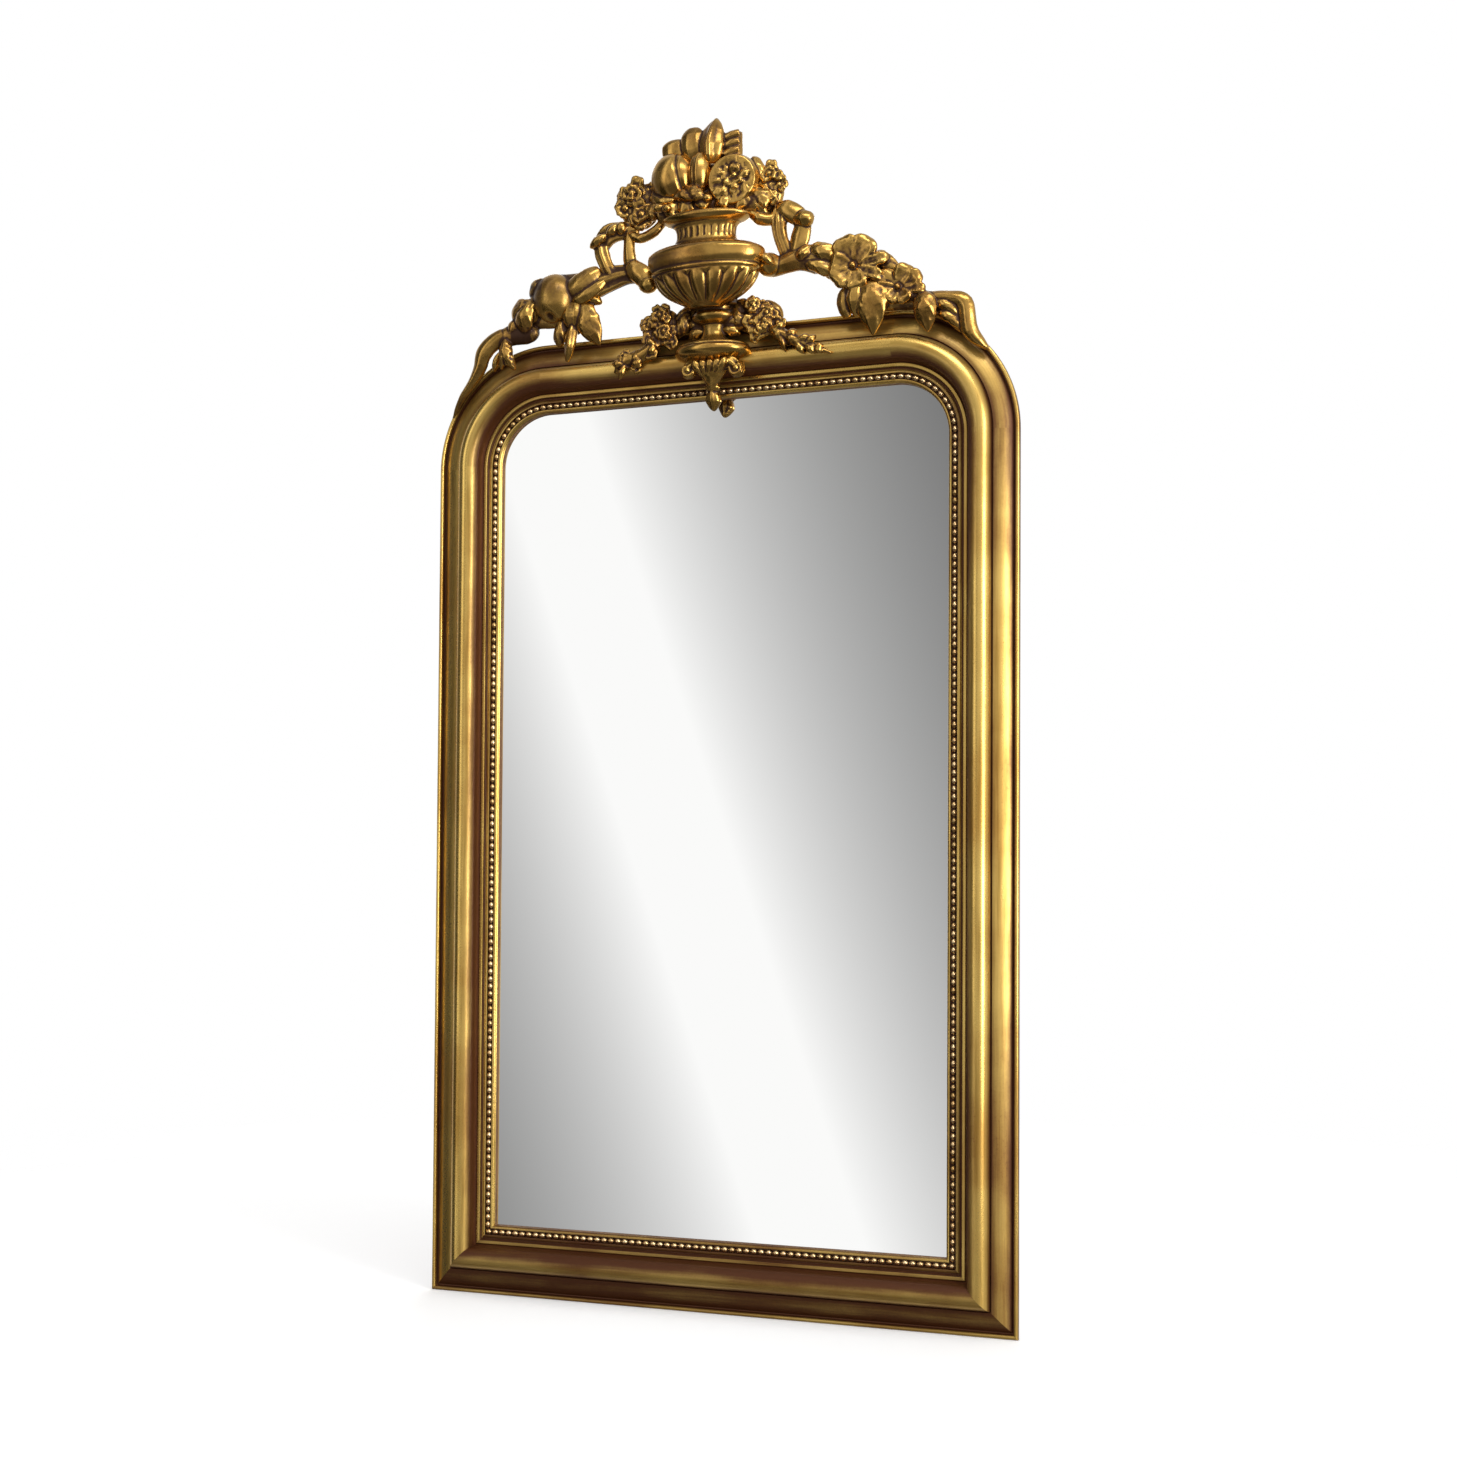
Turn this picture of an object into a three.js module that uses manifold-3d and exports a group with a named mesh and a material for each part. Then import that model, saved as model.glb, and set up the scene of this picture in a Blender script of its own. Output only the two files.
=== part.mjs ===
// A gilt overmantel mirror: a moulded wooden frame with round upper corners, a pearl
// border, a pierced crest of an urn with fruit and garlands, the silvered plate, its
// glue blocks, backboards and two swinging hanging rings.
// Millimetres. +Z up, the front faces -Y. The origin lies on the wall plane at the
// middle of the backboards.
import * as THREE from "three";
import { mergeVertices } from "three/addons/utils/BufferGeometryUtils.js";
import Module from "manifold-3d";

const wasm = await Module();
wasm.setup();

// ---------------------------------------------------------------- driving dimensions
const FRAME_W = 730; // outer width of the frame
const FRAME_H = 1152; // outer height of the frame, without the crest
const CORNER_R = 145; // outer radius of the round upper corners
const GAP = 0.3; // glue line or play between two pieces

// The moulding, from its outer edge to the sight edge.
const UNDERCUT = 7; // how far the back steps in behind the outer bead
const OUTER_BEAD_W = 4.8;
const OUTER_BEAD_H = 26;
const GROOVE_W = 2.4;
const GROOVE_H = 20;
const BAND_W = 21.2;
const BAND_H = 31;
const BAND_BOW = 1.5; // how far the band's slope rounds out
const QUIRK_W = 1.6;
const QUIRK_DEEP = 2.5;
const TORUS_W = 27;
const TORUS_H = 44;
const SCOTIA_W = 3;
const FILLET_W = 4.4;
const FILLET_H = 23.4;
const HOLLOW_W = 2;
const HOLLOW_H = 20.2;
const COVE_W = 4.6;
const COVE_H = 22.4;
const SEAT_W = 7.6; // channel that the pearl strips are glued into
const SEAT_H = 18.5;
const LIP_W = 3.9;
const LIP_H = 22;
const LIP_SIGHT_H = 18; // where the lip's round meets its straight inner face
const REBATE_W = 10.5;
const REBATE_H = 14.5; // height of the rebate face that the plate rests on

// Pearls
const PEARL_PITCH = 9.05;
const PEARL_W = 6.8;
const PEARL_RISE = 5.4;
const THREAD_W = 2.6; // the thread between two pearls
const THREAD_RISE = 1.8;

// Plate, blocks and backboards
const GLASS_T = 4;
const GLASS_PLAY = 1;
const BLOCK_LEG = 9;
const BLOCK_L = 120;
const BOARD_T = 6.7;
const BOARD_LAP = 12; // lap of the boards on the back of the frame
const BOARD_COUNT = 3;
const BOARD_JOINT = 0.8;
const NAIL_D = 2.2;
const NAIL_HEAD_D = 5;
const NAIL_HEAD_T = 0.9;
const NAIL_L = 20;
const NAIL_EDGE = 6; // from the board's end to the nail

// Corner joints
const KEY_LEG = 34; // legs of the three-cornered mitre keys
const KEY_T = 4;
const KEY_H = 9; // height of a key above the back of the frame
const DOWEL_D = 10;
const DOWEL_L = 60;

// Hanging hardware
const HANGER_BELOW_TOP = 300;
const STRAP_W = 20;
const STRAP_L = 62;
const STRAP_T = 1.4;
const EYE_R = 2.9;
const RING_WIRE_D = 3;
const RING_PLAY = 0.25;
const RING_W = 28; // outer width of a hanging ring
const RING_DROP = 24; // from the pivot to the ring's lowest point
const SCREW_D = 3.5;
const SCREW_HEAD_D = 7.6;
const SCREW_HEAD_T = 1.2;
const SCREW_L = 15;
const SCREW_FIRST = 34; // from the pivot down to the first screw
const SCREW_SPACING = 16;

// Crest
const CREST_BACK_H = 26; // height of the crest's flat back above the frame's back
const URN_X = 1; // the urn's axis
const URN_H = 56;
const URN_FLAT = 0.5; // depth of the urn against its width
const FOOT_X = 5; // the foot stands a little to the urn's right
const FOOT_H = 42;
const FOOT_FLAT = 0.7;
const STRUT_X = -6; // the strut stands to the left, out of sight behind the foot
const STRUT_W = 44;
const STRUT_RISE = 90;
const STRUT_REACH = 56; // how far the strut runs down the back of the top rail
const STRUT_SCREW_L = 26;

// ------------------------------------------------------------------- derived places
const WALL_GAP = BOARD_T + GAP; // the frame's back stands this far off the wall
const HALF_W = FRAME_W / 2;
const U_GROOVE = OUTER_BEAD_W;
const U_BAND = U_GROOVE + GROOVE_W;
const U_QUIRK = U_BAND + BAND_W;
const U_TORUS = U_QUIRK + QUIRK_W;
const U_SCOTIA = U_TORUS + TORUS_W;
const U_FILLET = U_SCOTIA + SCOTIA_W;
const U_HOLLOW = U_FILLET + FILLET_W;
const U_COVE = U_HOLLOW + HOLLOW_W;
const U_SEAT = U_COVE + COVE_W;
const U_LIP = U_SEAT + SEAT_W;
const U_SIGHT = U_LIP + LIP_W;
const U_REBATE = U_SIGHT - REBATE_W;
const U_PEARL = U_SEAT + SEAT_W / 2;
const ARC_X = HALF_W - CORNER_R; // centre of the upper corners' arcs
const ARC_Z = FRAME_H - CORNER_R;

const gold = new THREE.MeshStandardMaterial({ color: 0x9c7a2c, roughness: 0.38, metalness: 0.9 });
const crestGold = new THREE.MeshStandardMaterial({ color: 0x94701f, roughness: 0.36, metalness: 0.9 });
const pearlGold = new THREE.MeshStandardMaterial({ color: 0xc49a58, roughness: 0.32, metalness: 0.9 });
const silvered = new THREE.MeshStandardMaterial({ color: 0xd8dadb, roughness: 0.03, metalness: 1 });
const pine = new THREE.MeshStandardMaterial({ color: 0x8a6238, roughness: 0.8, metalness: 0 });
const beech = new THREE.MeshStandardMaterial({ color: 0xb48a58, roughness: 0.75, metalness: 0 });
const steel = new THREE.MeshStandardMaterial({ color: 0x8b8a86, roughness: 0.4, metalness: 1 });

const mirror = new THREE.Group();
mirror.position.z = -FRAME_H / 2;

// ------------------------------------------------------------------ solids and meshes
// A place given by its offset to the right, its height above the frame's back and its
// height above the frame's bottom edge.
function at(x, h, z) {
  return new THREE.Vector3(x, -(WALL_GAP + h), z);
}

function solidFromArrays(positions, triangles) {
  const make = (tris) =>
    new wasm.Manifold(
      new wasm.Mesh({
        numProp: 3,
        vertProperties: new Float32Array(positions),
        triVerts: new Uint32Array(tris),
      }),
    );
  const solid = make(triangles);
  if (solid.volume() > 0) return solid;
  const turned = [];
  for (let i = 0; i < triangles.length; i += 3) {
    turned.push(triangles[i], triangles[i + 2], triangles[i + 1]);
  }
  return make(turned);
}

function solidFrom(geometry) {
  geometry.deleteAttribute("normal");
  geometry.deleteAttribute("uv");
  const merged = mergeVertices(geometry, 1e-4);
  const index = merged.index.array;
  const triangles = [];
  for (let i = 0; i < index.length; i += 3) {
    const [a, b, c] = [index[i], index[i + 1], index[i + 2]];
    if (a !== b && b !== c && c !== a) triangles.push(a, b, c);
  }
  return solidFromArrays(merged.attributes.position.array, triangles);
}

function addMesh(name, solid, material, parent = mirror) {
  const made = solid.getMesh();
  const geometry = new THREE.BufferGeometry();
  geometry.setAttribute("position", new THREE.BufferAttribute(made.vertProperties, 3));
  geometry.setIndex(new THREE.BufferAttribute(made.triVerts, 1));
  geometry.computeVertexNormals();
  const mesh = new THREE.Mesh(geometry, material);
  mesh.name = name;
  parent.add(mesh);
  return mesh;
}

// Carries a closed outline through rings of places and closes both ends.
function loft(outlineCount, rings, capTriangles) {
  const positions = [];
  const triangles = [];
  for (const ring of rings) for (const p of ring) positions.push(p.x, p.y, p.z);
  for (let r = 0; r + 1 < rings.length; r += 1) {
    for (let i = 0; i < outlineCount; i += 1) {
      const j = (i + 1) % outlineCount;
      const [a, b] = [r * outlineCount + i, r * outlineCount + j];
      triangles.push(a, b, b + outlineCount, a, b + outlineCount, a + outlineCount);
    }
  }
  const last = (rings.length - 1) * outlineCount;
  for (const [a, b, c] of capTriangles) {
    triangles.push(c, b, a, last + a, last + b, last + c);
  }
  return solidFromArrays(positions, triangles);
}

function sweep(outline, stations) {
  const turned = THREE.ShapeUtils.isClockWise(outline) ? [...outline].reverse() : outline;
  const caps = THREE.ShapeUtils.triangulateShape(turned, []);
  return loft(turned.length, stations.map((place) => turned.map(place)), caps);
}

function box(x0, x1, h0, h1, z0, z1) {
  const geometry = new THREE.BoxGeometry(x1 - x0, h1 - h0, z1 - z0);
  const middle = at((x0 + x1) / 2, (h0 + h1) / 2, (z0 + z1) / 2);
  return solidFrom(geometry.translate(middle.x, middle.y, middle.z));
}

// A round bar from one place to another.
function bar(from, to, radius, sides = 10) {
  const along = new THREE.Vector3().subVectors(to, from);
  const geometry = new THREE.CylinderGeometry(radius, radius, along.length(), sides);
  const turn = new THREE.Quaternion().setFromUnitVectors(
    new THREE.Vector3(0, 1, 0),
    along.clone().normalize(),
  );
  geometry.applyQuaternion(turn);
  const middle = from.clone().add(to).multiplyScalar(0.5);
  return solidFrom(geometry.translate(middle.x, middle.y, middle.z));
}

function union(solids) {
  return solids.reduce((all, next) => all.add(next));
}

// The largest single body of a cut solid.
function mainBody(solid) {
  const bodies = solid.decompose();
  return bodies.reduce((best, next) => (next.volume() > best.volume() ? next : best));
}

// ------------------------------------------------------------------------- the moulding
const p2 = (u, h) => new THREE.Vector2(u, h);

// Part of an ellipse, from one angle to another in degrees.
function arcPoints(u, h, ru, rh, from, to, steps) {
  const points = [];
  for (let i = 0; i <= steps; i += 1) {
    const a = THREE.MathUtils.degToRad(from + ((to - from) * i) / steps);
    points.push(p2(u + ru * Math.cos(a), h + rh * Math.sin(a)));
  }
  return points;
}

// A gently rounded slope from one point to another.
function bowPoints(first, last, rise, steps) {
  const run = new THREE.Vector2().subVectors(last, first);
  const out = p2(-run.y, run.x).normalize();
  return Array.from({ length: steps + 1 }, (_, i) => {
    const t = i / steps;
    return first.clone().addScaledVector(run, t).addScaledVector(out, rise * 4 * t * (1 - t));
  });
}

// The moulding's face from the outer edge to the sight edge.
function facePoints() {
  const beadR = OUTER_BEAD_W / 2;
  const torusR = TORUS_W / 2;
  const springH = BAND_H - 0.5;
  return [
    ...arcPoints(beadR, OUTER_BEAD_H - beadR, beadR, beadR, 180, 0, 3),
    p2(U_GROOVE + 0.3, GROOVE_H),
    p2(U_BAND - 0.3, GROOVE_H),
    ...bowPoints(p2(U_BAND + 0.1, GROOVE_H + 0.9), p2(U_QUIRK - 0.1, BAND_H), BAND_BOW, 4),
    p2(U_QUIRK + 0.2, BAND_H - QUIRK_DEEP),
    p2(U_TORUS - 0.1, BAND_H - QUIRK_DEEP),
    ...arcPoints(U_TORUS + torusR, springH, torusR, TORUS_H - springH, 180, 15, 6),
    p2(U_SCOTIA + SCOTIA_W * 0.15, FILLET_H + 3),
    p2(U_FILLET - 0.4, FILLET_H - 1.4),
    p2(U_FILLET, FILLET_H),
    p2(U_HOLLOW - 0.3, FILLET_H),
    p2(U_HOLLOW, HOLLOW_H),
    p2(U_COVE, HOLLOW_H),
    p2(U_COVE + 0.5, COVE_H - 0.8),
    p2(U_SEAT - 0.6, COVE_H),
    p2(U_SEAT, COVE_H - 0.5),
    p2(U_SEAT, SEAT_H),
    p2(U_LIP, SEAT_H),
    p2(U_LIP, LIP_H - 0.4),
    ...arcPoints(U_LIP + 0.5, LIP_SIGHT_H, LIP_W - 0.5, LIP_H - LIP_SIGHT_H, 90, 0, 2),
  ];
}

const mouldingOutline = [
  p2(UNDERCUT, 0),
  p2(0, GROOVE_H),
  ...facePoints(),
  p2(U_SIGHT, REBATE_H),
  p2(U_REBATE, REBATE_H),
  p2(U_REBATE, 0),
];

// The space that the crest keeps clear of: a plain outline just proud of the moulding.
const CLEAR_U = U_TORUS - 3;
const clearOutline = [
  p2(-GAP, -WALL_GAP),
  p2(-GAP, OUTER_BEAD_H - OUTER_BEAD_W / 2),
  p2(OUTER_BEAD_W / 2, OUTER_BEAD_H + GAP),
  p2(U_BAND + BAND_W / 2, (GROOVE_H + BAND_H) / 2 + BAND_BOW + GAP * 3),
  p2(CLEAR_U, BAND_H + GAP),
  p2(U_TORUS - GAP, BAND_H + 6),
  p2(U_TORUS + TORUS_W * 0.2, TORUS_H + GAP),
  p2(U_TORUS + TORUS_W * 0.75, TORUS_H + GAP),
  p2(U_SCOTIA + GAP, BAND_H + 4),
  p2(U_FILLET, FILLET_H + GAP),
  p2(U_SIGHT + GAP, FILLET_H + GAP),
  p2(U_SIGHT + GAP, -WALL_GAP),
];

const side = { left: -1, right: 1 };
const stileFoot = (s) => (p) => at(s * (HALF_W - p.x), p.y, p.x + GAP);
const stileTop = (s) => (p) => at(s * (HALF_W - p.x), p.y, ARC_Z - GAP);
const bottomEnd = (s) => (p) => at(s * (HALF_W - p.x), p.y, p.x);
const topEnd = (s, play) => (p) => at(s * (ARC_X - play), p.y, FRAME_H - p.x);
const onArc = (s, degrees) => (p) => {
  const a = THREE.MathUtils.degToRad(degrees);
  const r = CORNER_R - p.x;
  return at(s * (ARC_X + r * Math.cos(a)), p.y, ARC_Z + r * Math.sin(a));
};
const ARC_STEPS = 8;
const arcStations = (s) =>
  Array.from({ length: ARC_STEPS + 1 }, (_, i) => onArc(s, (90 * i) / ARC_STEPS));

const crestClearance = union([
  sweep(clearOutline, [...arcStations(-1), ...arcStations(1).reverse()]),
]);

// Round pegs across the joints between the corner blocks and the straight members.
const DOWEL_U = U_TORUS + TORUS_W / 2;
const DOWEL_MID_H = REBATE_H;
function dowelPlaces(s) {
  const sideX = s * (HALF_W - DOWEL_U);
  const topZ = FRAME_H - DOWEL_U;
  return {
    side: [at(sideX, DOWEL_MID_H, ARC_Z - DOWEL_L / 2), at(sideX, DOWEL_MID_H, ARC_Z + DOWEL_L / 2)],
    top: [
      at(s * (ARC_X - DOWEL_L / 2), DOWEL_MID_H, topZ),
      at(s * (ARC_X + DOWEL_L / 2), DOWEL_MID_H, topZ),
    ],
  };
}

// A dowel's hole, a little longer and wider than the dowel.
function dowelHole([from, to]) {
  const extra = new THREE.Vector3().subVectors(to, from).setLength(1);
  return bar(from.clone().sub(extra), to.clone().add(extra), DOWEL_D / 2 + GAP);
}

// A three-cornered key let into the back of a lower mitre from the outer corner.
function mitreKey(s, grow) {
  const inset = UNDERCUT + 1 - grow;
  const reach = UNDERCUT + 1 + KEY_LEG + grow * 2.5;
  const outline = [p2(inset, inset), p2(reach, inset), p2(inset, reach)];
  const level = (h) => (p) => at(s * (HALF_W - p.x), h, p.y);
  return sweep(outline, [level(KEY_H - grow), level(KEY_H + KEY_T + grow)]);
}

const nailZ = (i) => boardSpan(i).reduce((a, b) => (a + b) / 2);
const BOARD_HALF_W = HALF_W - U_REBATE + BOARD_LAP;
const BOARD_Z0 = U_REBATE - BOARD_LAP;
const BOARD_Z1 = FRAME_H - U_REBATE + BOARD_LAP;
function boardSpan(i) {
  const each = (BOARD_Z1 - BOARD_Z0) / BOARD_COUNT;
  return [BOARD_Z0 + each * i + BOARD_JOINT / 2, BOARD_Z0 + each * (i + 1) - BOARD_JOINT / 2];
}
const NAIL_X = BOARD_HALF_W - NAIL_EDGE;

// A headed pin driven in from the back: its head's face lies at headH. Grown, it is the
// pin's hole, whose mouth runs out past the surface.
function headedPin(x, z, headH, shankR, headR, headT, length, grow) {
  const mouth = headH - grow * 3;
  const shank = bar(at(x, mouth, z), at(x, headH + length + grow, z), shankR + grow, 6);
  const head = bar(at(x, mouth, z), at(x, headH + headT + grow, z), headR + grow, 10);
  return shank.add(head);
}
const NAIL_HEAD_H = -WALL_GAP + GAP;
const nail = (s, i, grow) =>
  headedPin(s * NAIL_X, nailZ(i), NAIL_HEAD_H, NAIL_D / 2, NAIL_HEAD_D / 2, NAIL_HEAD_T, NAIL_L, grow);

const HANGER_X = HALF_W - (UNDERCUT + U_REBATE - BOARD_LAP) / 2 - 1;
const HANGER_Z = FRAME_H - HANGER_BELOW_TOP;
const STRAP_BACK_H = -GAP;
const STRAP_FACE_H = STRAP_BACK_H - STRAP_T;
const PIVOT_H = STRAP_FACE_H - GAP - RING_WIRE_D / 2;
const hangerScrewZ = [HANGER_Z - SCREW_FIRST, HANGER_Z - SCREW_FIRST - SCREW_SPACING];
const hangerScrew = (s, i, grow) =>
  headedPin(
    s * HANGER_X,
    hangerScrewZ[i],
    STRAP_FACE_H - GAP - SCREW_HEAD_T,
    SCREW_D / 2,
    SCREW_HEAD_D / 2,
    SCREW_HEAD_T,
    SCREW_L,
    grow,
  );

const STRUT_SCREW_HEAD_H = -WALL_GAP + GAP;
const STRUT_RAIL_SCREW_Z = FRAME_H - STRUT_REACH / 2;
const railScrew = (grow) =>
  headedPin(
    STRUT_X,
    STRUT_RAIL_SCREW_Z,
    STRUT_SCREW_HEAD_H,
    SCREW_D / 2,
    SCREW_HEAD_D / 2,
    SCREW_HEAD_T,
    STRUT_SCREW_L,
    grow,
  );
// The six members of the frame, with the seats that are cut in them.
for (const [name, s] of Object.entries(side)) {
  const dowels = dowelPlaces(s);
  const cuts = [dowelHole(dowels.side), mitreKey(s, GAP)];
  for (let i = 0; i < BOARD_COUNT; i += 1) cuts.push(nail(s, i, GAP));
  for (let i = 0; i < hangerScrewZ.length; i += 1) cuts.push(hangerScrew(s, i, GAP));
  const stile = sweep(mouldingOutline, [stileFoot(s), stileTop(s)]).subtract(union(cuts));
  addMesh(`stile_${name}`, stile, gold);
  const holes = union([dowelHole(dowels.side), dowelHole(dowels.top)]);
  const block = sweep(mouldingOutline, arcStations(s)).subtract(holes);
  addMesh(`corner_block_${name}`, block, gold);
  addMesh(`corner_dowel_${name}_side`, bar(...dowels.side, DOWEL_D / 2), beech);
  addMesh(`corner_dowel_${name}_top`, bar(...dowels.top, DOWEL_D / 2), beech);
  addMesh(`mitre_key_${name}`, mitreKey(s, 0), beech);
}
const topDowelHoles = [-1, 1].map((s) => dowelHole(dowelPlaces(s).top));
addMesh(
  "rail_top",
  sweep(mouldingOutline, [topEnd(-1, GAP), topEnd(1, GAP)])
    .subtract(union([...topDowelHoles, railScrew(GAP)])),
  gold,
);
addMesh(
  "rail_bottom",
  sweep(mouldingOutline, [bottomEnd(-1), bottomEnd(1)])
    .subtract(union([mitreKey(-1, GAP), mitreKey(1, GAP)])),
  gold,
);

// ---------------------------------------------------------------------- pearl strips
// A run of pearls on their thread. place turns a length along the run and an offset
// across it into a place; the run ends at the narrow thread.
function pearlRun(length, place) {
  const count = Math.round(length / PEARL_PITCH);
  const floor = SEAT_H + GAP;
  const section = (width, rise) => [
    p2(-width / 2, floor),
    p2(0, floor + rise),
    p2(width / 2, floor),
  ];
  const thread = section(THREAD_W, THREAD_RISE);
  const pearl = section(PEARL_W, PEARL_RISE);
  const rings = [thread.map((p) => place(0, p))];
  for (let i = 0; i < count; i += 1) {
    const step = length / count;
    rings.push(pearl.map((p) => place(step * (i + 0.5), p)));
    rings.push(thread.map((p) => place(step * (i + 1), p)));
  }
  return loft(3, rings, [[0, 1, 2]]);
}

const pearlFootZ = U_LIP + GAP;
const stilePearlL = ARC_Z - GAP / 2 - pearlFootZ;
for (const [name, s] of Object.entries(side)) {
  const place = (l, p) => at(s * (HALF_W - U_PEARL - p.x), p.y, pearlFootZ + l);
  addMesh(`pearl_strip_${name}`, pearlRun(stilePearlL, place), pearlGold);
}
const bottomPearlL = 2 * (HALF_W - U_SEAT - GAP);
addMesh(
  "pearl_strip_bottom",
  pearlRun(bottomPearlL, (l, p) => at(l - bottomPearlL / 2, p.y, U_PEARL + p.x)),
  pearlGold,
);
// The upper strip bends round both corners.
const pearlArcR = CORNER_R - U_PEARL;
const pearlArcL = (Math.PI / 2) * pearlArcR;
const pearlStraightL = 2 * ARC_X;
addMesh(
  "pearl_strip_top",
  pearlRun(2 * pearlArcL + pearlStraightL, (l, p) => {
    const r = pearlArcR - p.x;
    if (l < pearlArcL) {
      const a = Math.PI - l / pearlArcR;
      return at(-ARC_X + r * Math.cos(a), p.y, ARC_Z + GAP / 2 + r * Math.sin(a));
    }
    if (l < pearlArcL + pearlStraightL) {
      return at(l - pearlArcL - ARC_X, p.y, ARC_Z + GAP / 2 + r);
    }
    const a = Math.PI / 2 - (l - pearlArcL - pearlStraightL) / pearlArcR;
    return at(ARC_X + r * Math.cos(a), p.y, ARC_Z + GAP / 2 + r * Math.sin(a));
  }),
  pearlGold,
);

// ------------------------------------------------------- plate, blocks and backboards
const GLASS_FACE_H = REBATE_H - GAP;
const GLASS_BACK_H = GLASS_FACE_H - GLASS_T;
const glassInset = U_REBATE + GLASS_PLAY;
const glassX = HALF_W - glassInset;
const glassR = CORNER_R - glassInset;
const glassShape = new THREE.Shape();
glassShape.moveTo(-glassX, glassInset);
glassShape.lineTo(glassX, glassInset);
glassShape.absarc(ARC_X, ARC_Z, glassR, 0, Math.PI / 2, false);
glassShape.absarc(-ARC_X, ARC_Z, glassR, Math.PI / 2, Math.PI, false);
const glassOutline = glassShape.getPoints(9);
const glassAt = (h) => (p) => at(p.x, h, p.y);
addMesh(
  "mirror_plate",
  sweep(glassOutline.slice(0, -1), [glassAt(GLASS_BACK_H), glassAt(GLASS_FACE_H)]),
  silvered,
);

// Three-cornered glue blocks hold the plate in the rebate.
const blockOutline = [
  p2(U_REBATE + GAP, GLASS_BACK_H - GAP),
  p2(U_REBATE + GAP + BLOCK_LEG, GLASS_BACK_H - GAP),
  p2(U_REBATE + GAP, GLASS_BACK_H - GAP - BLOCK_LEG),
];
for (const [name, s] of Object.entries(side)) {
  const end = (d) => (p) => at(s * (HALF_W - p.x), p.y, FRAME_H / 2 + d);
  addMesh(`glue_block_${name}`, sweep(blockOutline, [end(-BLOCK_L / 2), end(BLOCK_L / 2)]), pine);
}
const crossEnd = (z) => (d) => (p) => at(d, p.y, z(p.x));
const lowBlock = crossEnd((u) => u);
const highBlock = crossEnd((u) => FRAME_H - u);
addMesh("glue_block_bottom", sweep(blockOutline, [-1, 1].map((e) => lowBlock((e * BLOCK_L) / 2))), pine);
addMesh("glue_block_top", sweep(blockOutline, [-1, 1].map((e) => highBlock((e * BLOCK_L) / 2))), pine);

const boardNames = ["lower", "middle", "upper"];
for (let i = 0; i < BOARD_COUNT; i += 1) {
  const [z0, z1] = boardSpan(i);
  const plank = box(-BOARD_HALF_W, BOARD_HALF_W, -WALL_GAP, -GAP, z0, z1);
  const name = boardNames[i] ?? `extra_${i}`;
  addMesh(`backboard_${name}`, plank.subtract(nail(-1, i, GAP)).subtract(nail(1, i, GAP)), pine);
  for (const [sideName, s] of Object.entries(side)) {
    addMesh(`board_nail_${name}_${sideName}`, nail(s, i, 0), steel);
  }
}

// --------------------------------------------------------------------- hanging rings
// A steel strap whose upper end is rolled round the ring's straight wire.
function hangerStrap(s) {
  const x = s * HANGER_X;
  const strap = box(
    x - STRAP_W / 2,
    x + STRAP_W / 2,
    STRAP_FACE_H,
    STRAP_BACK_H,
    HANGER_Z - STRAP_L,
    HANGER_Z,
  );
  const eyeHalf = RING_W / 2 - RING_WIRE_D - 2;
  const across = (half, r) => bar(at(x - half, PIVOT_H, HANGER_Z), at(x + half, PIVOT_H, HANGER_Z), r, 12);
  const eye = across(eyeHalf, EYE_R);
  const bore = across(RING_W, RING_WIRE_D / 2 + RING_PLAY);
  const screws = union([hangerScrew(s, 0, GAP), hangerScrew(s, 1, GAP)]);
  return strap.add(eye).subtract(bore).subtract(screws);
}

// The ring: a straight wire in the eye, two cheeks and a half-round bow.
function hangingRing(s) {
  const x = s * HANGER_X;
  const r = RING_WIRE_D / 2;
  const halfW = RING_W / 2 - r;
  const bowZ = HANGER_Z - RING_DROP + r + halfW;
  const pin = bar(at(x - halfW, PIVOT_H, HANGER_Z), at(x + halfW, PIVOT_H, HANGER_Z), r);
  const BOW_STEPS = 8;
  const centres = [at(x - halfW, PIVOT_H, HANGER_Z)];
  for (let i = 0; i <= BOW_STEPS; i += 1) {
    const a = Math.PI + (Math.PI * i) / BOW_STEPS;
    centres.push(at(x + halfW * Math.cos(a), PIVOT_H, bowZ + halfW * Math.sin(a)));
  }
  centres.push(at(x + halfW, PIVOT_H, HANGER_Z));
  const WIRE_SIDES = 8;
  const wireSection = arcPoints(0, 0, r, r, 0, 360 - 360 / WIRE_SIDES, WIRE_SIDES - 1);
  const rings = centres.map((c, i) => {
    const before = centres[Math.max(i - 1, 0)];
    const after = centres[Math.min(i + 1, centres.length - 1)];
    const along = new THREE.Vector3().subVectors(after, before).normalize();
    const out = new THREE.Vector3(0, -1, 0);
    const across = new THREE.Vector3().crossVectors(along, out);
    return wireSection.map((p) => c.clone().addScaledVector(across, p.x).addScaledVector(out, p.y));
  });
  const fan = Array.from({ length: WIRE_SIDES - 2 }, (_, i) => [0, i + 1, i + 2]);
  return pin.add(loft(WIRE_SIDES, rings, fan));
}

for (const [name, s] of Object.entries(side)) {
  addMesh(`hanger_strap_${name}`, hangerStrap(s), steel);
  addMesh(`hanger_ring_${name}`, hangingRing(s), steel);
  addMesh(`hanger_screw_${name}_upper`, hangerScrew(s, 0, 0), steel);
  addMesh(`hanger_screw_${name}_lower`, hangerScrew(s, 1, 0), steel);
}

// ------------------------------------------------------------------------- the crest
// Crest places are given as x, height above the frame's top edge, and height above the
// frame's back. Every shape takes grow, so that a neighbour can be cut clear of it.
const top = (dz) => FRAME_H + dz;

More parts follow.
